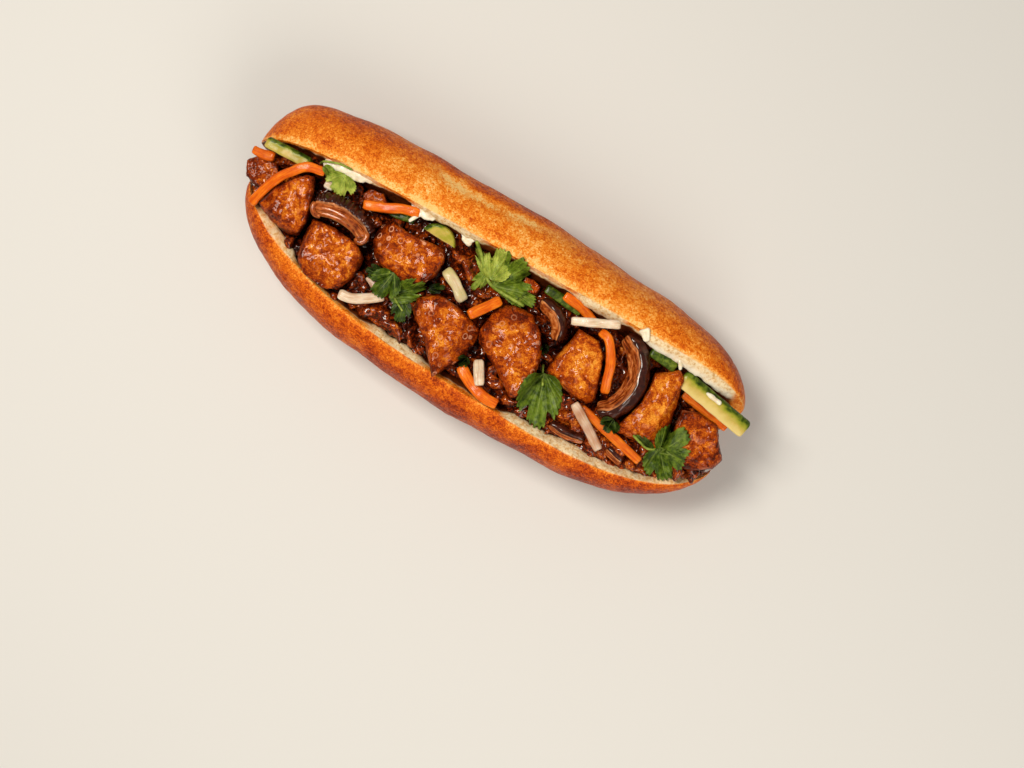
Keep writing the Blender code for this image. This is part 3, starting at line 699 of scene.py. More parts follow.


# ---- fried tofu ----
# Each: corners in plan, the underside's and the top's height and climb, the slanting faces (the
# way each looks, how far out it starts, how steeply it falls), its glaze bubbles with their painted
# highlights, and its browning.
TOFU = (
    ([(-126.5, -0.5), (-123, -6.5), (-117, -8), (-110.5, -6), (-110, 1), (-114, 5.2), (-122, 4.6)],
     (34, 0, 0), (46, 0.10, 0), (), 0.5, 0.50),
    ([(-111, -14), (-108, -4), (-102, 5), (-96, 9), (-92.5, 3), (-88, -10), (-88.5, -16.5),
      (-93, -19), (-102, -18)], (37, 0.1, 0), (54, 0.20, 0.05),
     ((-90, 7, 1.1), (180, 7, 0.5)), 0.15, 0.39),
    ([(-86, -7.5), (-76, -6), (-64, -6.5), (-58, -10), (-57, -19), (-60, -28), (-66, -31),
      (-77, -30), (-82, -26), (-85, -16)], (42, 0, -0.75), (58.5, 0.05, 0),
     ((-90, 7, 0.7), (0, 10, 0.9), (180, 11, 0.9)), 0.1, 0.38),
    ([(-58, 7), (-57.5, -1), (-53, -7), (-44, -10), (-36, -10), (-29, -6.5), (-26, 0), (-26, 8),
      (-29, 12), (-36, 11.5), (-47, 10), (-54, 11)], (42, 0, 0), (59.5, 0, 0),
     ((-90, 6, 0.8), (180, 10, 0.7), (90, 7, 0.6)), 1, 0.42),
    ([(-26.5, -13), (-22, -8), (-17, -6), (-8, -7), (3, -9.5), (5, -14), (4.2, -23), (0.5, -32),
      (-3, -38.5), (-7, -34.5), (-13.5, -27.5), (-20, -22.5), (-26, -18)],
     (45, 0, -0.42), (60, 0, 0.02), ((220, 6, 0.7), (0, 7, 0.8)), 0.7, 0.36),
    ([(21, 8.5), (12, 7.5), (5.5, 4.5), (4.5, -9), (7, -14.5), (20, -21), (31, -27.5), (34, -26),
      (36, -15), (33, -4), (28, 3)], (42, 0, 0), (60, 0, 0),
     ((235, 9, 0.9), (120, 8, 0.5), (10, 10, 0.5)), 0.5, 0.37),
    ([(42, 14), (52, 14.5), (57, 10), (60.5, 2), (64, -8), (62, -12), (55, -12.5), (45, -10.5),
      (39.5, -9), (40, 0), (41.5, 7)], (41, 0, 0), (58, -0.05, 0),
     ((-90, 8, 1), (180, 8, 0.6), (0, 9, 0.8)), 0.15, 0.29),
    ([(90, 22.5), (93.5, 20), (96.5, 11), (101.4, -8.5), (98.5, -12.5), (88, -14.5), (81, -15),
      (80, -11.5), (83, 0), (83, 8), (81.5, 15.5), (86, 19)], (42, 0, 0), (57, -0.05, 0),
     ((0, 5, 1.1), (-90, 13, 0.9)), 0.2, 0.28),
    ([(101, 8), (108, 11), (117, 10.5), (122, 5), (128, -1), (126, -6.5), (119, -12), (111, -15.5),
      (103.5, -14), (102.8, -4)], (37, -0.10, 0), (54, -0.15, 0.05),
     ((-90, 6, 0.9), (10, 9, 0.6)), 0.3, 0.42),
    ([(-73, 14), (-71, 18), (-65, 19), (-61, 16.5), (-62, 12.5), (-69, 11)],
     (42, 0, 0), (52, 0, 0), (), 0.3, 0.50),
    ([(9, 17.5), (9, 21.5), (13, 22.5), (17, 21), (17, 17.5), (13, 16)],
     (44, 0, 0), (53, 0, 0), (), 0.2, 0.58),
)
TOFU_AROUND = 132
# Up a lump's side: how far out, as a share of its outline, and how high between under and top.
TOFU_SIDE = ((0.60, 0), (0.80, 0.05), (0.94, 0.20), (1, 0.50), (1, 0.80), (0.965, 0.94),
             (0.90, 1))
TOFU_SIDE_RINGS, TOFU_TOP_RINGS = 22, 18
TOFU_CRISP = 0.86           # how straight its outline runs between the corners
TOFU_PLUMP = 1.02           # its outline's size beside the corners given
TOFU_LEAST_HEIGHT = 4.0


def make_tofu(number, row, material):
    """One lump, as the model has it, with crisp edges and a blistered skin."""
    outline, under, over, faces, foam, browning = row
    edge = closed_curve(outline, TOFU_AROUND, TOFU_CRISP)
    middle = edge.mean(axis=0)
    edge = middle + (edge - middle) * TOFU_PLUMP
    seed = 1.7 * number

    def heights(x, y):
        """The underside, the top, how far the slanting faces lower it, and how near a crease."""
        x_out, y_out = x - middle[0], y - middle[1]
        low, high = (base + climb_x * x_out + climb_y * y_out
                     for base, climb_x, climb_y in (under, over))
        fall, crease = 0.0, 0.0
        for heading, start, steepness in faces:
            turn = radians(heading)
            beyond = x_out * cos(turn) + y_out * sin(turn) - start
            fall += steepness * max(0, beyond)
            crease = max(crease, exp(-(beyond / 0.9) ** 2))
        return low, max(high - fall, low + TOFU_LEAST_HEIGHT), fall, crease

    side = open_curve(TOFU_SIDE, TOFU_SIDE_RINGS)
    levels = list(side) + [(0.90 * (1 - k / TOFU_TOP_RINGS), 1) for k in range(1, TOFU_TOP_RINGS)]
    shape = Shape()
    rings = []
    for spread, level in levels:
        ring = []
        for corner in edge:
            wobble = 1 + 0.03 * noise.noise(Vector((*corner, 20 * level)) * 0.15)
            x, y = middle + (corner - middle) * spread * wobble
            low, high, fall, crease = heights(x, y)
            dent = 0.9 * level * noise.noise(Vector((x, y, 3)) * 0.17)
            height = low + (high - low) * level + dent
            uneven = 0.75 + 0.5 * ripple(x, y, height, 6, seed + 2)
            # Browning with painted shade: darker towards the outline, on the slanting faces, on the
            # lower rings and along the creases, as well as at random.
            roast = (browning + 0.20 * uneven * (ease(0.60, 0.94, spread) + ease(0, 5, fall))
                     + 0.22 * ease(0.98, 0.60, level) + 0.07 * crease
                     + 0.14 * ripple(x, y, height, 9, seed))
            patch = ease(-0.15, 0.45, ripple(x, y, 0, 7, seed + 4))
            ring.append(shape.point((x, y, height), roast=roast, foam=foam * patch))
        rings.append(ring)
    hubs = [shape.point((*middle, height), roast=browning + 0.05, foam=0)
            for height in heights(*middle)[:2]]
    shape.skin(rings, *hubs)

    def blister(x, y, z, _):
        crags = abs(ripple(x, y, z, 5.5, seed)) + 0.35 * abs(ripple(x, y, z, 2.4, seed + 9))
        return 0.20 - 0.75 * crags + 0.22 * ripple(x, y, z, 1.4, seed)

    shape.swell(blister)
    shape.finish(f"fried_tofu_{number}", material, "fried_tofu", f"tofu_{number}")


# ---- sticks and slices ----
END_SIZES = (0.78, 0.94, 0.985, 1)    # how the first rings from each end are rounded


def superellipse(width, height, count, power):
    """A rounded rectangle's points, from its right round over its top."""
    points = []
    for i in range(count):
        turn = 2 * pi * i / count
        reach = (abs(cos(turn)) ** power + abs(sin(turn)) ** power) ** (-1 / power)
        points.append((width / 2 * cos(turn) * reach, height / 2 * sin(turn) * reach))
    return points


def sweep(route, section, looks_of, count, end_size=1.0):
    """A closed sweep. section is in the (right, up) plane, and looks_of(i, share) gives the looks
    of its point i at that share of the way along."""
    path = open_curve(route, count)
    shape = Shape()
    rings = []
    for k, spot in enumerate(path):
        ahead = path[min(k + 1, count - 1)] - path[max(k - 1, 0)]
        ahead /= np.linalg.norm(ahead)
        right = np.cross(ahead, UP)
        right /= np.linalg.norm(right)
        up = np.cross(right, ahead)
        share = k / (count - 1)
        size = mix(end_size, 1.0, taper(2 * share - 1, 4, 0.5)) * END_SIZES[min(k, count - 1 - k, 3)]
        rings.append([shape.point(spot + size * (right * a + up * b), **looks_of(i, share))
                      for i, (a, b) in enumerate(section)])
    first = shape.point(path[0], **looks_of(0, 0.0))
    last = shape.point(path[-1], **looks_of(0, 1.0))
    shape.skin(rings[::-1], last, first)
    return shape


CARROT = (
    ([(-92, 13, 57), (-100, 11, 57.5), (-105, 5.5, 56.5), (-109, -0.5, 54), (-112, -8, 51),
      (-114, -16, 47)], 4.4, 3.2),
    ([(-126.4, 5, 45.4), (-121.5, 5.6, 46.4), (-116.2, 6.9, 47.4)], 4.6, 3.2),
    ([(-70, 10.3, 55), (-60, 14.5, 55.5), (-53.5, 18, 56), (-46.5, 20, 56)], 4.6, 3.4),
    ([(-3.4, -6.8, 61), (5, 6.5, 58)], 4.8, 3.6),
    ([(28, 23.8, 55.5), (37.5, 22.9, 55), (45.5, 20.6, 54)], 4.4, 3.4),
    ([(50.5, 18.5, 58), (55.5, 17, 60), (61.3, 9.3, 60), (64.5, 1.5, 58), (66.5, -3.5, 55)],
     4.2, 3),
    ([(5.5, -28, 52.8), (14.3, -32.5, 53.4), (22, -34.3, 53.8), (28.5, -34, 53.8)], 5.2, 3),
    ([(61.3, -15, 49.7), (79, -18.3, 50.3), (96.5, -21.5, 50.5)], 4.2, 3.2),
    ([(97, 15, 47), (108.5, 13.6, 46.8), (122, 12, 46.2)], 4, 3.4),
)
DAIKON = (
    ([(-58, -29.5, 54), (-52.3, -28.5, 54.3), (-46.5, -24.8, 54), (-40.5, -20, 53)], 4.6, 3.6),
    ([(11, -21.5, 55.5), (17.3, -30.8, 58)], 4.8, 3.4),
    ([(36.8, 15.5, 60), (56.2, 25.5, 62.5)], 4, 3.4),
    ([(57.5, -15, 55), (67.3, -20.5, 54.5), (78, -27, 54)], 4.4, 3.4),
    ([(-23.2, 5.2, 52), (-16.5, 2.2, 53), (-9, -2.4, 52.6)], 5.2, 3.4),
    ([(-90, 9.4, 51), (-85.5, 9.6, 51)], 4, 3),
    ([(-51.5, -16, 48.5), (-46, -18.5, 48.5)], 3.6, 2.8),
)
# Cucumber spears have one more: how near the skin their palest flesh is, from 0 to 1.
CUCUMBER = (
    ([(-122.5, 11.3, 47.3), (-100.5, 12.9, 50.3)], 5.6, 5.4, 0.50),
    ([(92.5, 21, 50.5), (129.5, 15.8, 51)], 8.6, 6.4, 0),
    ([(74.4, 24, 50.8), (88, 23, 50.8)], 5.8, 5.8, 0.3),
    ([(19.3, 22.2, 51), (38.5, 21.2, 50.8)], 4.4, 4, 0.3),
    ([(-58.5, 14, 48.5), (-47, 16.5, 49)], 3.8, 4, 0.3),
)
# Shiitake slices have one more: how far out the skin starts, from -1 at the route's left.
SHIITAKE = (
    ([(-88.5, -0.5, 51.5), (-82, 2.5, 53), (-73.5, 3.3, 54), (-65.5, 2, 53.5), (-61.5, 0, 52.5)],
     10, 7, -0.66),
    ([(21, 16, 53), (28.5, 14.4, 55), (33.6, 10, 55), (35.4, 5, 53)], 7.6, 5.8, -0.66),
    ([(62, 23.3, 51), (70, 19, 53.5), (75.7, 9.5, 55), (76.1, -0.5, 55), (73, -8.2, 53),
      (68.4, -11.8, 51.5)], 9.8, 7.4, -0.60),
    ([(53.5, -28.5, 49.3), (62, -28.5, 49.6), (70, -26.5, 49.3)], 5, 4, -0.2),
    ([(81, -24, 48.2), (90, -25.6, 48.2)], 5, 4.4, -0.3),
)
# Sticks unlike the rest: how stained with sauce, how green, and how uneven in millimetres.
PLAIN_STICK = (0, 0, 0.30)
STICK_LOOKS = {
    ("daikon", 1): (0.12, 0, 0.30), ("daikon", 2): (0.08, 0, 0.30),
    ("daikon", 4): (0.42, 0, 0.30), ("daikon", 5): (0.10, 0.80, 0.70),
    ("daikon", 7): (0.45, 0, 0.40), ("carrot", 2): (0.14, 0, 0.70),
    ("carrot", 8): (0.16, 0, 0.30), ("carrot", 9): (0.10, 0, 0.30),
}
# The pleated slice's gills and their curled ends: their points (x, y, height) and their radius.
CURLS = (
    ([(-89, -0.5, 54.5), (-88.6, -3.2, 54.8), (-86.4, -5, 54.6), (-83.6, -4.6, 54.2)], 1.3),
    ([(-61.8, 0.2, 55), (-60.9, -2.8, 55.2), (-62.4, -5.2, 55), (-65, -4.8, 54.4)], 1.35),
    ([(-87.5, -2.4, 53.6), (-81, 0.2, 54.8), (-74, 0.9, 55.2), (-68, 0.2, 55), (-62, -2, 54)], 1.9),
    ([(-86, -4, 53), (-80, -1.9, 54), (-74, -1.2, 54.2), (-67, -2, 54), (-63, -4, 53)], 1.5),
)
# The deep, the middle and the pale colour of each kind of stick, and its seed.
CARROT_COLOURS, CARROT_SEED = ((0.60, 0.086, 0.002), (0.75, 0.138, 0.003), (0.88, 0.24, 0.012)), 20
DAIKON_COLOURS, DAIKON_SEED = ((0.64, 0.44, 0.28), (0.76, 0.60, 0.43), (0.88, 0.78, 0.62)), 40
# Points round each kind, how square its corners are, and the millimetres from ring to ring.
STICK_AROUND, STICK_CORNERS, STICK_STEP = 28, 4.0, 0.7
MUSHROOM_AROUND, MUSHROOM_CORNERS, MUSHROOM_STEP = 64, 3.6, 0.35
MUSHROOM_END, MUSHROOM_TILT = 0.62, 42      # how much narrower it ends, and its tilt in degrees
CURL_AROUND, CURL_CORNERS, CURL_STEPS = 14, 2.2, 22
PLEATED_SLICE, PLEAT_LENGTH = 1, 2.1
# The slices whose inner edge carries a painted highlight line too.
BRIGHT_RIM_SLICES = (2, 3)  # the slices whose inner edge is a bright line too
SMOOTH_SLICE = 2            # the slice whose flesh is smooth and amber
CUCUMBER_SKIN_UP = (3, 4, 5)    # the spears whose skin is turned up
SPEAR_AROUND, SPEAR_STEP = 40, 0.6
SPEAR = ((0.50, 0.42), (0.10, 0.50), (-0.28, 0.50), (-0.46, 0.30),
         (-0.50, 0), (-0.42, -0.32), (-0.22, -0.50), (0.15, -0.22))


def make_sticks(kind, rows, material, seed):
    """Julienned root: slightly wavy, with softened corners and knife-cut ends."""
    for number, (route, width, height) in enumerate(rows, 1):
        section = superellipse(width, height, STICK_AROUND, STICK_CORNERS)
        length = route_length(route)
        stain, green, uneven = STICK_LOOKS.get((kind, number), PLAIN_STICK)

        def looks_of(i, share):
            a, b = section[i]
            travel = share * length
            blotch = ripple(travel, a, b, 5, number)
            return {"across": a + 0.6 * b, "travel": travel, "number": 3.7 * number,
                    "stain": clamp(stain * (1 + 1.2 * blotch)),
                    "green": clamp(green * (1 + 1.4 * blotch))}

        shape = sweep(route, section, looks_of, steps_along(route, STICK_STEP, 12))
        shape.roughen(uneven, 6, 1.6, seed + number)
        shape.finish(f"{kind}_stick_{number}", material, kind, f"{kind}_{number}")


def make_mushroom(number, row, material):
    """A slice of cap, tilted so that the skin on the left of the route is turned up."""
    route, width, height, skin_start = row
    flat = superellipse(width, height, MUSHROOM_AROUND, MUSHROOM_CORNERS)
    turn = radians(-MUSHROOM_TILT)
    section = [(a * cos(turn) - b * sin(turn), a * sin(turn) + b * cos(turn)) for a, b in flat]
    length = route_length(route)
    smooth = float(number == SMOOTH_SLICE)

    def looks_of(i, share):
        travel = share * length
        top = flat[i][1] / height * 2
        side = flat[i][0] / width * 2 + 0.10 * ripple(travel, 0, 0, 4)
        # edge is a painted highlight line along the slice's rims: under its lower edge, along the
        # cap's border, and on some slices' inner edge.
        edge = exp(-((top + 0.97) / 0.06) ** 2) * ease(-0.3, -0.7, side)
        if top > 0:
            edge = max(edge, exp(-((side - skin_start) / 0.07) ** 2))
            if number in BRIGHT_RIM_SLICES:
                edge = max(edge, 0.9 * ease(0.80, 0.94, side))
        edge *= 0.6 + 0.4 * ripple(travel, side, 0, 3, 1)
        deep = 0.12 * ease(0.1, -0.6, side) + 0.10 * ripple(travel, side, 0, 6) - 0.16 * smooth
        return {"skin": ease(skin_start, skin_start - 0.2, side) * ease(-0.95, -0.80, top),
                "across": mix(side, 0.25 * side, smooth), "deep": deep,
                "edge": max(0, edge), "travel": travel}

    shape = sweep(route, section, looks_of, steps_along(route, MUSHROOM_STEP, 24), MUSHROOM_END)

    def folds(x, y, z, i):
        travel, side = shape.looks["travel"][i], shape.looks["across"][i]
        flesh = (0.35 * ripple(0.16 * travel, 4 * side, 0, 1, number)
                 - 0.5 * exp(-((side - 0.25) / 0.35) ** 2) + 0.3 * ripple(x, y, z, 4, number))
        wrinkled = 0.45 * ripple(x, y, z, 3.5, number)
        if number == PLEATED_SLICE:
            turns = travel / PLEAT_LENGTH + 0.7 * ripple(x, y, z, 5, number)
            wrinkled += 1.15 * (abs(sin(pi * turns)) - 0.6)
        return mix(flesh, wrinkled, shape.looks["skin"][i])

    def curl_looks(i, share):
        # A painted highlight streak runs along each curl.
        return {"skin": 0, "across": sin(i / 2.2), "edge": 0.5 * (i % 7 < 2), "deep": 0.05,
                "travel": 12 * share}

    shape.swell(folds)
    for spots, radius in CURLS if number == PLEATED_SLICE else ():
        ring = superellipse(2 * radius, 2 * radius, CURL_AROUND, CURL_CORNERS)
        shape.absorb(sweep(spots, ring, curl_looks, CURL_STEPS))
    shape.finish(f"shiitake_slice_{number}", material, "shiitake", f"shiitake_{number}")


def make_spear(number, row, material):
    """Cucumber cut lengthwise: skin on the route's left, or turned up, and pale flesh."""
    route, width, height, palest = row
    wedge = closed_curve(SPEAR, SPEAR_AROUND)

    def looks_of(i, share):
        left = wedge[i][1] * 2 if number in CUCUMBER_SKIN_UP else -wedge[i][0] * 2
        return {"skin": max(palest, 0.5 + 0.5 * left) + 0.04 * sin(9 * share)}

    shape = sweep(route, wedge * (width, height), looks_of, steps_along(route, SPEAR_STEP, 14))
    shape.roughen(0.22, 5, 1.5, number)
    shape.finish(f"cucumber_spear_{number}", material, "cucumber", f"cucumber_{number}")


CUCUMBER_ROUND = ((-41.8, 15.5, 52.5), (-25.2, 16, 52.5))     # the two ends of its flat side
CUCUMBER_BOW, CUCUMBER_TILT, CUCUMBER_ROUND_THICKNESS = 6.0, 18, 4.0
# From its middle out: how far out each ring of its face is, and how far from the mid-plane.
ROUND_RINGS = ((0.3, 1), (0.6, 1), (0.85, 1), (0.97, 0.8), (1, 0.4))
ROUND_FLESH = 0.54          # how near the skin its flesh looks
ROUND_STEPS = 20            # from the middle of the round's arc to its end, and along its flat side


def make_half_round(material):
    """A slice of cucumber cut across: flat on one side, with its skin round the other."""
    start, end = (Vector(p) for p in CUCUMBER_ROUND)
    chord, middle = (end - start).length, (start + end) / 2
    radius = (chord * chord / 4 + CUCUMBER_BOW ** 2) / (2 * CUCUMBER_BOW)
    half_turn = asin(min(1.0, chord / 2 / radius))
    outline = []
    for i in range(2 * ROUND_STEPS + 1):
        turn = half_turn * (1 - i / ROUND_STEPS)
        skin = mix(0.60, 1.0, ease(0.1, -0.5, sin(turn) / sin(half_turn)))
        outline.append((radius * sin(turn), CUCUMBER_BOW - radius * (1 - cos(turn)), skin))
    outline += [(chord * (k / ROUND_STEPS - 0.5), 0.0, 0.30) for k in range(1, ROUND_STEPS)]
    tilt = radians(CUCUMBER_TILT)
    centre_y = CUCUMBER_BOW * 0.42
    thick = CUCUMBER_ROUND_THICKNESS / 2
    shape = Shape()

    def point(x, y, z, skin):
        at = (middle.x + x, middle.y + y * cos(tilt) - z * sin(tilt),
              middle.z + y * sin(tilt) + z * cos(tilt))
        return shape.point(at, skin=skin)

    levels = [(s, -z * thick) for s, z in ROUND_RINGS] + [(s, z * thick) for s, z in ROUND_RINGS[::-1]]
    rings = [[point(x * spread, mix(centre_y, y, spread), z,
                    mix(ROUND_FLESH, skin, ease(0.62, 1.0, spread))) for x, y, skin in outline]
             for spread, z in levels]
    shape.skin(rings, *(point(0, centre_y, z, ROUND_FLESH) for z in (-thick, thick)))
    shape.roughen(0.25, 4, 1.5)
    shape.finish("cucumber_half_round", material, "cucumber", "cucumber_6")


# ---- the minced filling ----
# Larger shreds that stand out of the mince between the other pieces: x, y, height and radius.
LUMPS = (
    (-20, 13, 50, 3.6), (-13, 9, 50, 3.2), (-27, 16, 49, 3), (-5, 4, 51, 3), (-37, -27, 49, 3.4),
    (-29, -29, 49, 3.2), (-22, -28, 49, 3.4), (-44, -30, 48, 2.8), (24, -26, 50, 3.2),
    (19, -24, 50, 3), (30, -30, 49, 2.8), (57, -22.5, 49, 3.4), (64, -23, 49, 3),
    (86, -22, 49, 3), (94, -25, 48, 2.8), (103, -19, 48, 3), (113, -15, 47, 3),
    (119, -12, 45, 2.6), (-53, 12, 48, 2.8), (-62, 6, 49, 3), (-90, -22, 47, 2.6),
    (-54, -18, 48, 3), (-60, -32, 49, 2.2), (34, -4, 48, 2.8), (-89, 13, 49, 2.6),
    (-83, 12, 49, 2.6), (10, 12, 49, 2.8), (40, 17, 49, 2.6), (70, -20, 48, 2.8), (-3, 13, 49, 3.2),
    (-117, 5.5, 40, 3.2), (-120, 9, 39, 2.4), (-113, -8, 41, 2.6), (-118, -6.5, 38, 2.4),
    (118, -11, 43, 3), (122, -7, 41, 2.4), (114, -16, 46, 2.8), (122.6, -8.6, 37, 2.2),
    (119.5, -13, 41, 2.6), (124.4, -7.6, 36, 1.7),
    (-114, -0.5, 14.8, 2.2), (-116.5, 0, 18, 2.3), (-113.5, 0.8, 16, 2.2),
    (115, -0.5, 14.8, 2.2), (117.5, 0, 18, 2.3), (114.5, 0.8, 16, 2.2),
)
MINCE_SPACING = 3.4         # millimetres between the shreds over its top
MINCE_VOXEL = 0.78          # the size of the faces on its skin
MINCE_RISE = 1.3            # how far the shreds' middles lie over the model's mince
TOP_SHRED_RADII, END_SHRED_RADII = (1.3, 2.5), (1.2, 2.3)
ROOF_GAP, ROOF_REACH = 0.2, 6.0     # where another piece over the mince keeps its shreds away
END_GRID = (34, 20)         # how many places across and up are tried for a shred at each open end
END_START = 96.0            # how far from the middle the open ends start
ABOVE, BESIDE = 0.1, 0.2    # metres, beyond every piece
DOWN = Vector((0, 0, -1))


def unit_sphere(rings, around):
    """Points and faces of a round ball of radius 1."""
    points, faces = [Vector((0, 0, -1))], []
    for ring in range(1, rings):
        polar = pi * ring / rings
        for k in range(around):
            turn = 2 * pi * k / around
            points.append(Vector((sin(polar) * cos(turn), sin(polar) * sin(turn), -cos(polar))))
    points.append(Vector((0, 0, 1)))
    last = 1 + (rings - 2) * around
    for k in range(around):
        j = (k + 1) % around
        faces += [(0, 1 + j, 1 + k), (last + k, last + j, len(points) - 1)]
        for a in range(1, last, around):
            faces.append((a + k, a + j, a + around + j, a + around + k))
    return points, faces


def top_shreds(tree):
    """Where the shreds over the mince lie: each one's middle, in packed metres, and its radius."""
    above = piece_tree()
    dice = random.Random(11)
    shreds = []
    low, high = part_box("mince")
    step = MINCE_SPACING * MM
    for i in range(int((high.x - low.x) / step) + 1):
        for j in range(int((high.y - low.y) / step) + 1):
            x = low.x + (i + dice.uniform(-0.45, 0.45)) * step
            y = low.y + (j + dice.uniform(-0.45, 0.45)) * step
            radius = dice.uniform(*TOP_SHRED_RADII) * MM
            spot = tree.ray_cast(Vector((x, y, ABOVE)), DOWN)[0]
            if spot is None:
                continue
            if above.ray_cast(spot - ROOF_GAP * MM * DOWN, -DOWN, ROOF_REACH * MM)[0] is None:
                rise = (MINCE_RISE + dice.uniform(-1.6, 0.8)) * MM
                shreds.append((Vector((x, y, spot.z + rise)), radius))
    return shreds


def end_shreds(tree):
    """Shreds over the mince's two open ends, which show between the tips of the bread."""
    dice = random.Random(23)
    low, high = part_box("mince")
    shreds = []
    for side in (-1, 1):
        for i in range(END_GRID[0]):
            for j in range(END_GRID[1]):
                y = mix(low.y, high.y, (i + dice.random()) / END_GRID[0])
                z = mix(low.z, high.z, (j + dice.random()) / END_GRID[1])
                spot = tree.ray_cast(Vector((BESIDE * side, y, z)), Vector((-side, 0, 0)))[0]
                if spot is not None and abs(spot.x) > END_START * MM:
                    inwards = dice.uniform(0.2, 1.4) * MM
                    shreds.append((spot - Vector((side * inwards, 0, 0)),
                                   dice.uniform(*END_SHRED_RADII) * MM))
    return shreds


def mince_source(body):
    """The model's mince with bent shreds set into its top and ends, in packed metres."""
    dice = random.Random(5)
    ball_points, ball_faces = unit_sphere(7, 12)
    tree = BVHTree.FromObject(body, bpy.context.evaluated_depsgraph_get())
    lumps = [(packed(*spot), radius * MM) for *spot, radius in LUMPS]
    shape = Shape()
    shape.join(*mesh_parts(body.data))
    for centre, radius in top_shreds(tree) + lumps + end_shreds(tree):
        squash = Vector((dice.uniform(1.0, 2.3), dice.uniform(0.6, 1.0), dice.uniform(0.55, 0.95)))
        bend = dice.uniform(-0.35, 0.35)
        turn = Matrix.Rotation(dice.uniform(0, pi), 3, "Z")
        turn = turn @ Matrix.Rotation(dice.uniform(-0.5, 0.5), 3, "Y")
        points = []
        for p in ball_points:
            bent = p * squash
            bent.y += bend * bent.x ** 2
            points.append(centre + turn @ bent * radius)
        shape.join(points, ball_faces)
    return shape


def make_mince(material):
    mesh = remeshed(mince_source(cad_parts["mince"]), MINCE_VOXEL, 1)
    points = np.array([v.co for v in mesh.vertices]) / MM
    raised = []
    for k, ((x, y, z), normal) in enumerate(zip(points.copy(), normals_of(mesh))):
        crags = rough(x, y, z, 3.0, 3, 1.0)
        points[k] += normal * (0.65 * crags)
        # Painted light and shade: lighter on shreds that face up or out of the ends and stand high,
        # darker in hollows and low down; lighter too towards the right end, which is more orange, and
        # at the left end, lightened against its shadow.
        outwards = ease(90, 104, abs(x)) * abs(normal[0])
        raised.append(0.12 + 0.27 * (max(normal[2], outwards) + crags)
                      + 0.035 * max(z - 48, 5.0 * outwards - 5.0) + 0.26 * ripple(x, y, z, 7, 6.0)
                      + 0.16 * ease(40, 90, x) + 0.20 * ease(100, 110, -x))
    mesh.vertices.foreach_set("co", (points * MM).ravel())
    mesh.attributes.new("raised", "FLOAT", "POINT").data.foreach_set("value", raised)
    place(mesh, "minced_filling", material, "minced_filling", "mince")


# ---- cilantro ----
# Leaflets: the foot of each (x, y), the way it points in degrees, its length, its breadth as a
# share of that, how far it stands above what it lies on, and how young and bright it is.
LEAFLETS = (
    (-84, 17.2, -86, 9.6, 1.35, 1.2, 0.84), (-94, 15.4, -14, 8, 0.50, 1, 0.66),
    (-42, -8.5, -98, 13.5, 0.95, 1.8, 0.30), (-38.5, -19, 50, 18, 0.50, 2.4, 0.48),
    (-32.5, -16.5, -68, 10.5, 0.80, 0.9, 0.22), (-47.5, -12.5, 188, 7, 0.90, 0.9, 0.14),
    (-25.5, -6.5, 40, 8, 0.50, 0.9, 0.12),
    (-1.5, 10.5, 62, 18.5, 1.05, 2.6, 0.50), (3, 13, 4, 16, 0.62, 2.2, 0.54),
    (-3.5, 12, 100, 15, 0.85, 4.2, 0.86), (-6.5, 14.5, -102, 11, 0.50, 2.8, 0.68),
    (-5.5, 12.5, 142, 15, 0.30, 2.2, 0.82),
    (39, -10.5, -68, 25.5, 0.70, 2.2, 0.44),
    (102, -13.5, 68, 16, 0.95, 2.4, 0.42), (101, -11, -48, 15.5, 1.05, 1.8, 0.36),
    (99, -13.5, 173, 11, 0.30, 1, 0.26), (76.5, -11.5, -92, 7, 1.2, 1.8, 0.14),
    (6, -23, -105, 5.5, 0.9, 1, 0.12), (33, 1, -80, 5, 0.7, 0.6, 0.06),
)
# Stems: their points (x, y), each laid over what is under it, and their thickness.
STEMS = (
    ([(-97, 16), (-93, 18), (-88, 19.8), (-82, 20.4)], 1),
    ([(-30, -21), (-36, -18), (-41, -14), (-44, -9)], 1),
    ([(-18, 23), (-13, 19), (-8, 14), (-3, 10.5), (4, 9.8), (15, 10)], 1.7),
    ([(36.5, -7.5), (38.5, -11), (41.5, -16)], 1.1),
    ([(87.5, -13), (92, -14), (97, -14.5), (102, -11)], 1.2),
)
LEAF_AROUND, LEAF_RINGS, LEAF_THICKNESS = 140, 16, 0.35
LEAF_ACROSS = LEAF_AROUND + 1
LEAF_FAN = radians(84)      # how far to either side of its midrib a leaf turns
LEAF_FLOOR, STEM_FLOOR = 45, 48     # the heights to lie at where there is nothing below
LEAF_GAP, STEM_GAP = 0.6, 0.8       # how far they clear what is below
SETTLE_ROUNDS, STEM_ROUNDS = 26, 30     # how often their heights are evened out
STEM_SPOTS, STEM_AROUND, STEM_STEPS = 40, 10, 50
LOBES = (-0.52, 0, 0.52)    # where its lobes' veins run, as shares of the fan
LOBE_CUTS = (-0.27, 0.27)   # where it is notched between them
TEETH = 11.0                # how many teeth half its edge has


def tooth(at, shift):
    """From 0 to 1 and back over each tooth of a leaf's edge."""
    return abs((at * TEETH + shift) % 1.0 - 0.5) * 2


def leaf_reach(at, seed):
    """The outline's distance from the leaf's foot, as a share of its length, this far round."""
    reach = cos(LEAF_FAN * at) ** 0.62
    for cut in LOBE_CUTS:
        wander = 0.05 * sin(3 * seed + 5 * cut)
        reach *= 1 - 0.30 * max(0.0, 1 - abs(at - cut - wander) / 0.10)
    return (reach * (1 - 0.085 * tooth(at, 0.3 * seed) ** 1.5)
            * (1 + 0.07 * ripple(2.5 * at, seed, 0, 1)))


def leaf_vein(at, share, reach):
    """How much of a vein there is at this point of a leaf."""
    off = min(abs(at - lobe) for lobe in LOBES) * LEAF_FAN * share * reach
    return max(ease(0.030, 0.008, off) * ease(1.0, 0.5, share),
               0.30 * ease(0.25, 0.05, tooth(at, 0.0)) * ease(0.45, 0.75, share))


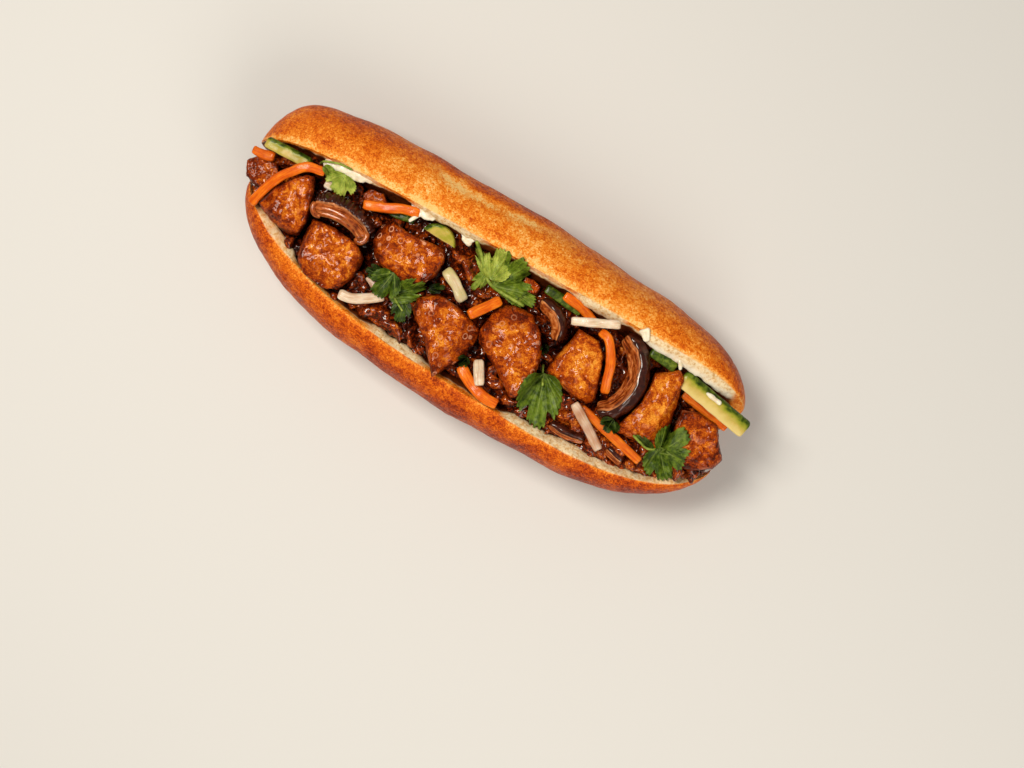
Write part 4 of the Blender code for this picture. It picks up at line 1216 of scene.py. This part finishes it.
def settle(floor, base_z, lift):
    """Heights for a leaf's points that clear the floor under them and bend only gently."""
    grid = np.array(floor).reshape(-1, LEAF_ACROSS)
    want = np.empty_like(grid)
    for ring in range(LEAF_RINGS + 1):
        share = ring / LEAF_RINGS
        level = mix(base_z, base_z - 2.5, share ** 2) - 4.0 * share
        want[ring] = np.maximum(grid[ring] + mix(lift, 0.9, share), level)
    want = np.minimum(want, base_z + 6.0)
    want[0] = base_z
    for _ in range(SETTLE_ROUNDS):
        smooth = want.copy()
        smooth[1:-1] = (want[:-2] + want[2:] + 2 * want[1:-1]) / 4
        smooth[:, 1:-1] = (smooth[:, :-2] + smooth[:, 2:] + 2 * smooth[:, 1:-1]) / 4
        smooth[-1] = (want[-1] + want[-2]) / 2
        want = np.maximum(smooth, grid + LEAF_GAP)
        want[0] = want[1].mean()
    return want.ravel()


def make_leaf(shape, ground, number, row):
    """One leaflet: a fan of toothed lobes, draped over what is under it."""
    x0, y0, heading, length, breadth, lift, young = row
    base_z = ground(x0, y0, LEAF_FLOOR) + lift
    forward_x, forward_y = cos(radians(heading)), sin(radians(heading))
    spots = []
    for ring in range(LEAF_RINGS + 1):
        share = ring / LEAF_RINGS
        for k in range(LEAF_ACROSS):
            at = 2 * k / LEAF_AROUND - 1
            reach = leaf_reach(at, number)
            ahead = length * reach * share * cos(at * LEAF_FAN)
            aside = length * reach * share * sin(at * LEAF_FAN) * breadth
            spots.append((x0 + ahead * forward_x - aside * forward_y,
                          y0 + ahead * forward_y + aside * forward_x, at, share, reach))
    heights = settle([ground(x, y, base_z - 3) for x, y, *_ in spots], base_z, lift)
    top, under = [], []
    for (x, y, at, share, reach), z in zip(spots, heights):
        z += length * (0.045 * share ** 2 * sin(9.0 * at + number) + 0.04 * share ** 2
                       - 0.02 * exp(-(at / 0.1) ** 2) * share)
        tint = young + 0.10 * share + 0.08 * ripple(x, y, 0, 5) - 0.07
        top.append(shape.point((x, y, z), vein=leaf_vein(at, share, reach), young=tint))
    for x, y, z in shape.points[top[0]:]:
        under.append(shape.point((x, y, z - LEAF_THICKNESS), vein=0.2, young=young + 0.1))
    starts = range(0, LEAF_RINGS * LEAF_ACROSS, LEAF_ACROSS)
    for start in starts:
        for a in range(start, start + LEAF_AROUND):
            b, c, d = a + 1, a + LEAF_ACROSS + 1, a + LEAF_ACROSS
            shape.faces += [(top[a], top[d], top[c], top[b]),
                            (under[a], under[b], under[c], under[d])]
    border = list(range(LEAF_RINGS * LEAF_ACROSS, len(top)))
    border += [start + LEAF_AROUND for start in starts[::-1]] + list(starts)
    for a, b in zip(border, border[1:] + border[:1]):
        shape.faces.append((top[a], under[a], under[b], top[b]))


def make_stem(shape, ground, points, width):
    path = open_curve(points, STEM_SPOTS)
    heights = np.array([ground(x, y, STEM_FLOOR) + width * 0.7 + STEM_GAP for x, y in path])
    for _ in range(STEM_ROUNDS):
        heights[1:-1] = np.maximum(heights[1:-1], (heights[:-2] + heights[2:]) / 2)
    shape.absorb(sweep([(x, y, z) for (x, y), z in zip(path, heights)],
                       superellipse(width, width, STEM_AROUND, 2.0),
                       lambda *_: {"vein": 0.5, "young": 0.72}, STEM_STEPS))


def make_cilantro(material):
    """All the leaves and stems as one piece, laid over whatever is under them."""
    tree = piece_tree()
    shape = Shape()

    def ground(x, y, default):
        spot = tree.ray_cast(packed(x, y, ABOVE / MM), DOWN)[0]
        return default if spot is None else spot.z / MM - OFFSET[2]

    for number, row in enumerate(LEAFLETS):
        make_leaf(shape, ground, number, row)
    for points, width in STEMS:
        make_stem(shape, ground, points, width)
    shape.finish("cilantro_sprigs", material, "cilantro")


# ---- mayonnaise ----
# Smears: their points (x, y, height), and their radius.
SMEARS = (
    ([(-50, 22.4, 55.5), (-45, 22.6, 56), (-38, 23.6, 56)], 1.7),
    ([(-46.5, 21.6, 56), (-43.5, 20.6, 56.5), (-40.5, 21.4, 56)], 1.7),
    ([(-46, 21.8, 56), (-46.8, 19, 56.5), (-47.8, 16.4, 57), (-48.4, 15.2, 56.8)], 1.2),
    ([(-25, 22.8, 55), (-20, 23, 55)], 1.5), ([(-23.5, 21.2, 55), (-20.8, 20.6, 54.4)], 1.5),
    ([(-93, 17.2, 54.5), (-84, 19.6, 56), (-73, 21.2, 56.6)], 2.3),
    ([(-92.5, 16.2, 53.6), (-84, 17.8, 55), (-76, 19.2, 55.6)], 2.1),
    ([(65.6, 28, 59.4), (66.9, 29.2, 60.4), (67.8, 30.4, 60.8)], 1.25),
    ([(67.8, 30.4, 60.8), (69, 28.6, 60.2), (70.2, 26.8, 59)], 1.25),
    ([(67.2, 27.6, 59.4), (69.2, 26.2, 58.6)], 1.4),
    ([(87.5, 26.4, 56.4), (88.9, 24.6, 56.2), (89.4, 23.6, 56)], 1.2),
    ([(106, 20.6, 54.4), (112.5, 19.9, 54.6)], 1.2),
)
SMEAR_STEP = 0.8            # millimetres between the balls that make up a smear
SMEAR_VOXEL = 0.42          # the size of the faces on its skin


def make_mayonnaise(material):
    ball_points, ball_faces = unit_sphere(9, 16)
    shape = Shape()
    for route, radius in SMEARS:
        for x, y, z in open_curve(route, steps_along(route, SMEAR_STEP, 3)):
            size = radius * (0.95 + 0.40 * ripple(x, y, z, 3.2, 2.0)) * MM
            flat = Vector((size, size, 0.75 * size))
            shape.join([packed(x, y, z) + p * flat for p in ball_points], ball_faces)
    place(remeshed(shape, SMEAR_VOXEL, 8), "mayonnaise", material, "mayonnaise")


# ---- the studio ----
CAMERA_TURN = radians(32.2)     # how far the roll is turned in the picture
LENS, SENSOR = 85.0, 36.0
VIEW_WIDTH = 470.0          # millimetres across the picture at the roll's widest level
VIEW_MIDDLE = (29.3, -22.5)
FLOOR_SIZE, FLOOR_COLOUR, FLOOR_ROUGHNESS = 3.0, (0.72, 0.71, 0.69, 1.0), 0.8
SKY_COLOUR, SKY_STRENGTH = (1.0, 0.95, 0.87, 1.0), 0.24
WARM_LIGHT = (1, 0.94, 0.84)
# Each soft light: its name, its watts, its size in metres, and its place as the picture sees it.
LIGHTS = (("key", 8.2, 0.35, (-0.30, 0.22, 1.0)), ("fill", 5.2, 0.7, (0.25, -0.75, 0.75)))


def make_floor():
    shape = Shape()
    shape.join([(FLOOR_SIZE * x, FLOOR_SIZE * y, 0) for x, y in ((-1, -1), (1, -1), (1, 1), (-1, 1))],
               [(0, 1, 2, 3)])
    floor = link(bpy.data.objects.new("floor", shape.loose_mesh()))
    paint = Paint("pale_floor", Base_Color=FLOOR_COLOUR, Roughness=FLOOR_ROUGHNESS)
    floor.data.materials.append(paint.material)


def make_light(name, watts, size, spot):
    """A soft warm light at spot, aimed at the sandwich."""
    data = bpy.data.lights.new(name, "AREA")
    data.energy, data.size, data.color = watts, size, WARM_LIGHT
    light = link(bpy.data.objects.new(name, data))
    light.location = spot
    aim = Vector((0, 0, TIP_HEIGHT * MM)) - spot
    light.rotation_euler = aim.to_track_quat("-Z", "Y").to_euler()


def make_studio():
    make_floor()
    scene = bpy.context.scene
    world = bpy.data.worlds.new("studio")
    world.use_nodes = True
    sky = world.node_tree.nodes["Background"].inputs
    sky["Color"].default_value, sky["Strength"].default_value = SKY_COLOUR, SKY_STRENGTH
    scene.world = world
    to_picture = Matrix.Rotation(CAMERA_TURN, 3, "Z")
    for name, watts, size, spot in LIGHTS:
        make_light(name, watts, size, to_picture @ Vector(spot))
    data = bpy.data.cameras.new("camera")
    data.lens, data.sensor_width = LENS, SENSOR
    data.clip_start, data.clip_end = 0.05, 20.0
    camera = link(bpy.data.objects.new("camera", data))
    camera.location = packed(*VIEW_MIDDLE, TIP_HEIGHT + VIEW_WIDTH * LENS / SENSOR)
    camera.rotation_euler = (0, 0, CAMERA_TURN)
    scene.camera = camera
    scene.view_settings.view_transform = "Standard"


def main():
    make_bread(crust_paint())
    tofu = tofu_paint()
    for number, row in enumerate(TOFU, 1):
        make_tofu(number, row, tofu)
    make_sticks("carrot", CARROT, root_paint("pickled_carrot", *CARROT_COLOURS), CARROT_SEED)
    make_sticks("daikon", DAIKON, root_paint("pickled_daikon", *DAIKON_COLOURS), DAIKON_SEED)
    shiitake = shiitake_paint()
    for number, row in enumerate(SHIITAKE, 1):
        make_mushroom(number, row, shiitake)
    cucumber = cucumber_paint()
    for number, row in enumerate(CUCUMBER, 1):
        make_spear(number, row, cucumber)
    make_half_round(cucumber)
    make_mince(mince_paint())
    make_mayonnaise(mayonnaise_paint())
    make_cilantro(leaf_paint())
    make_studio()


main()
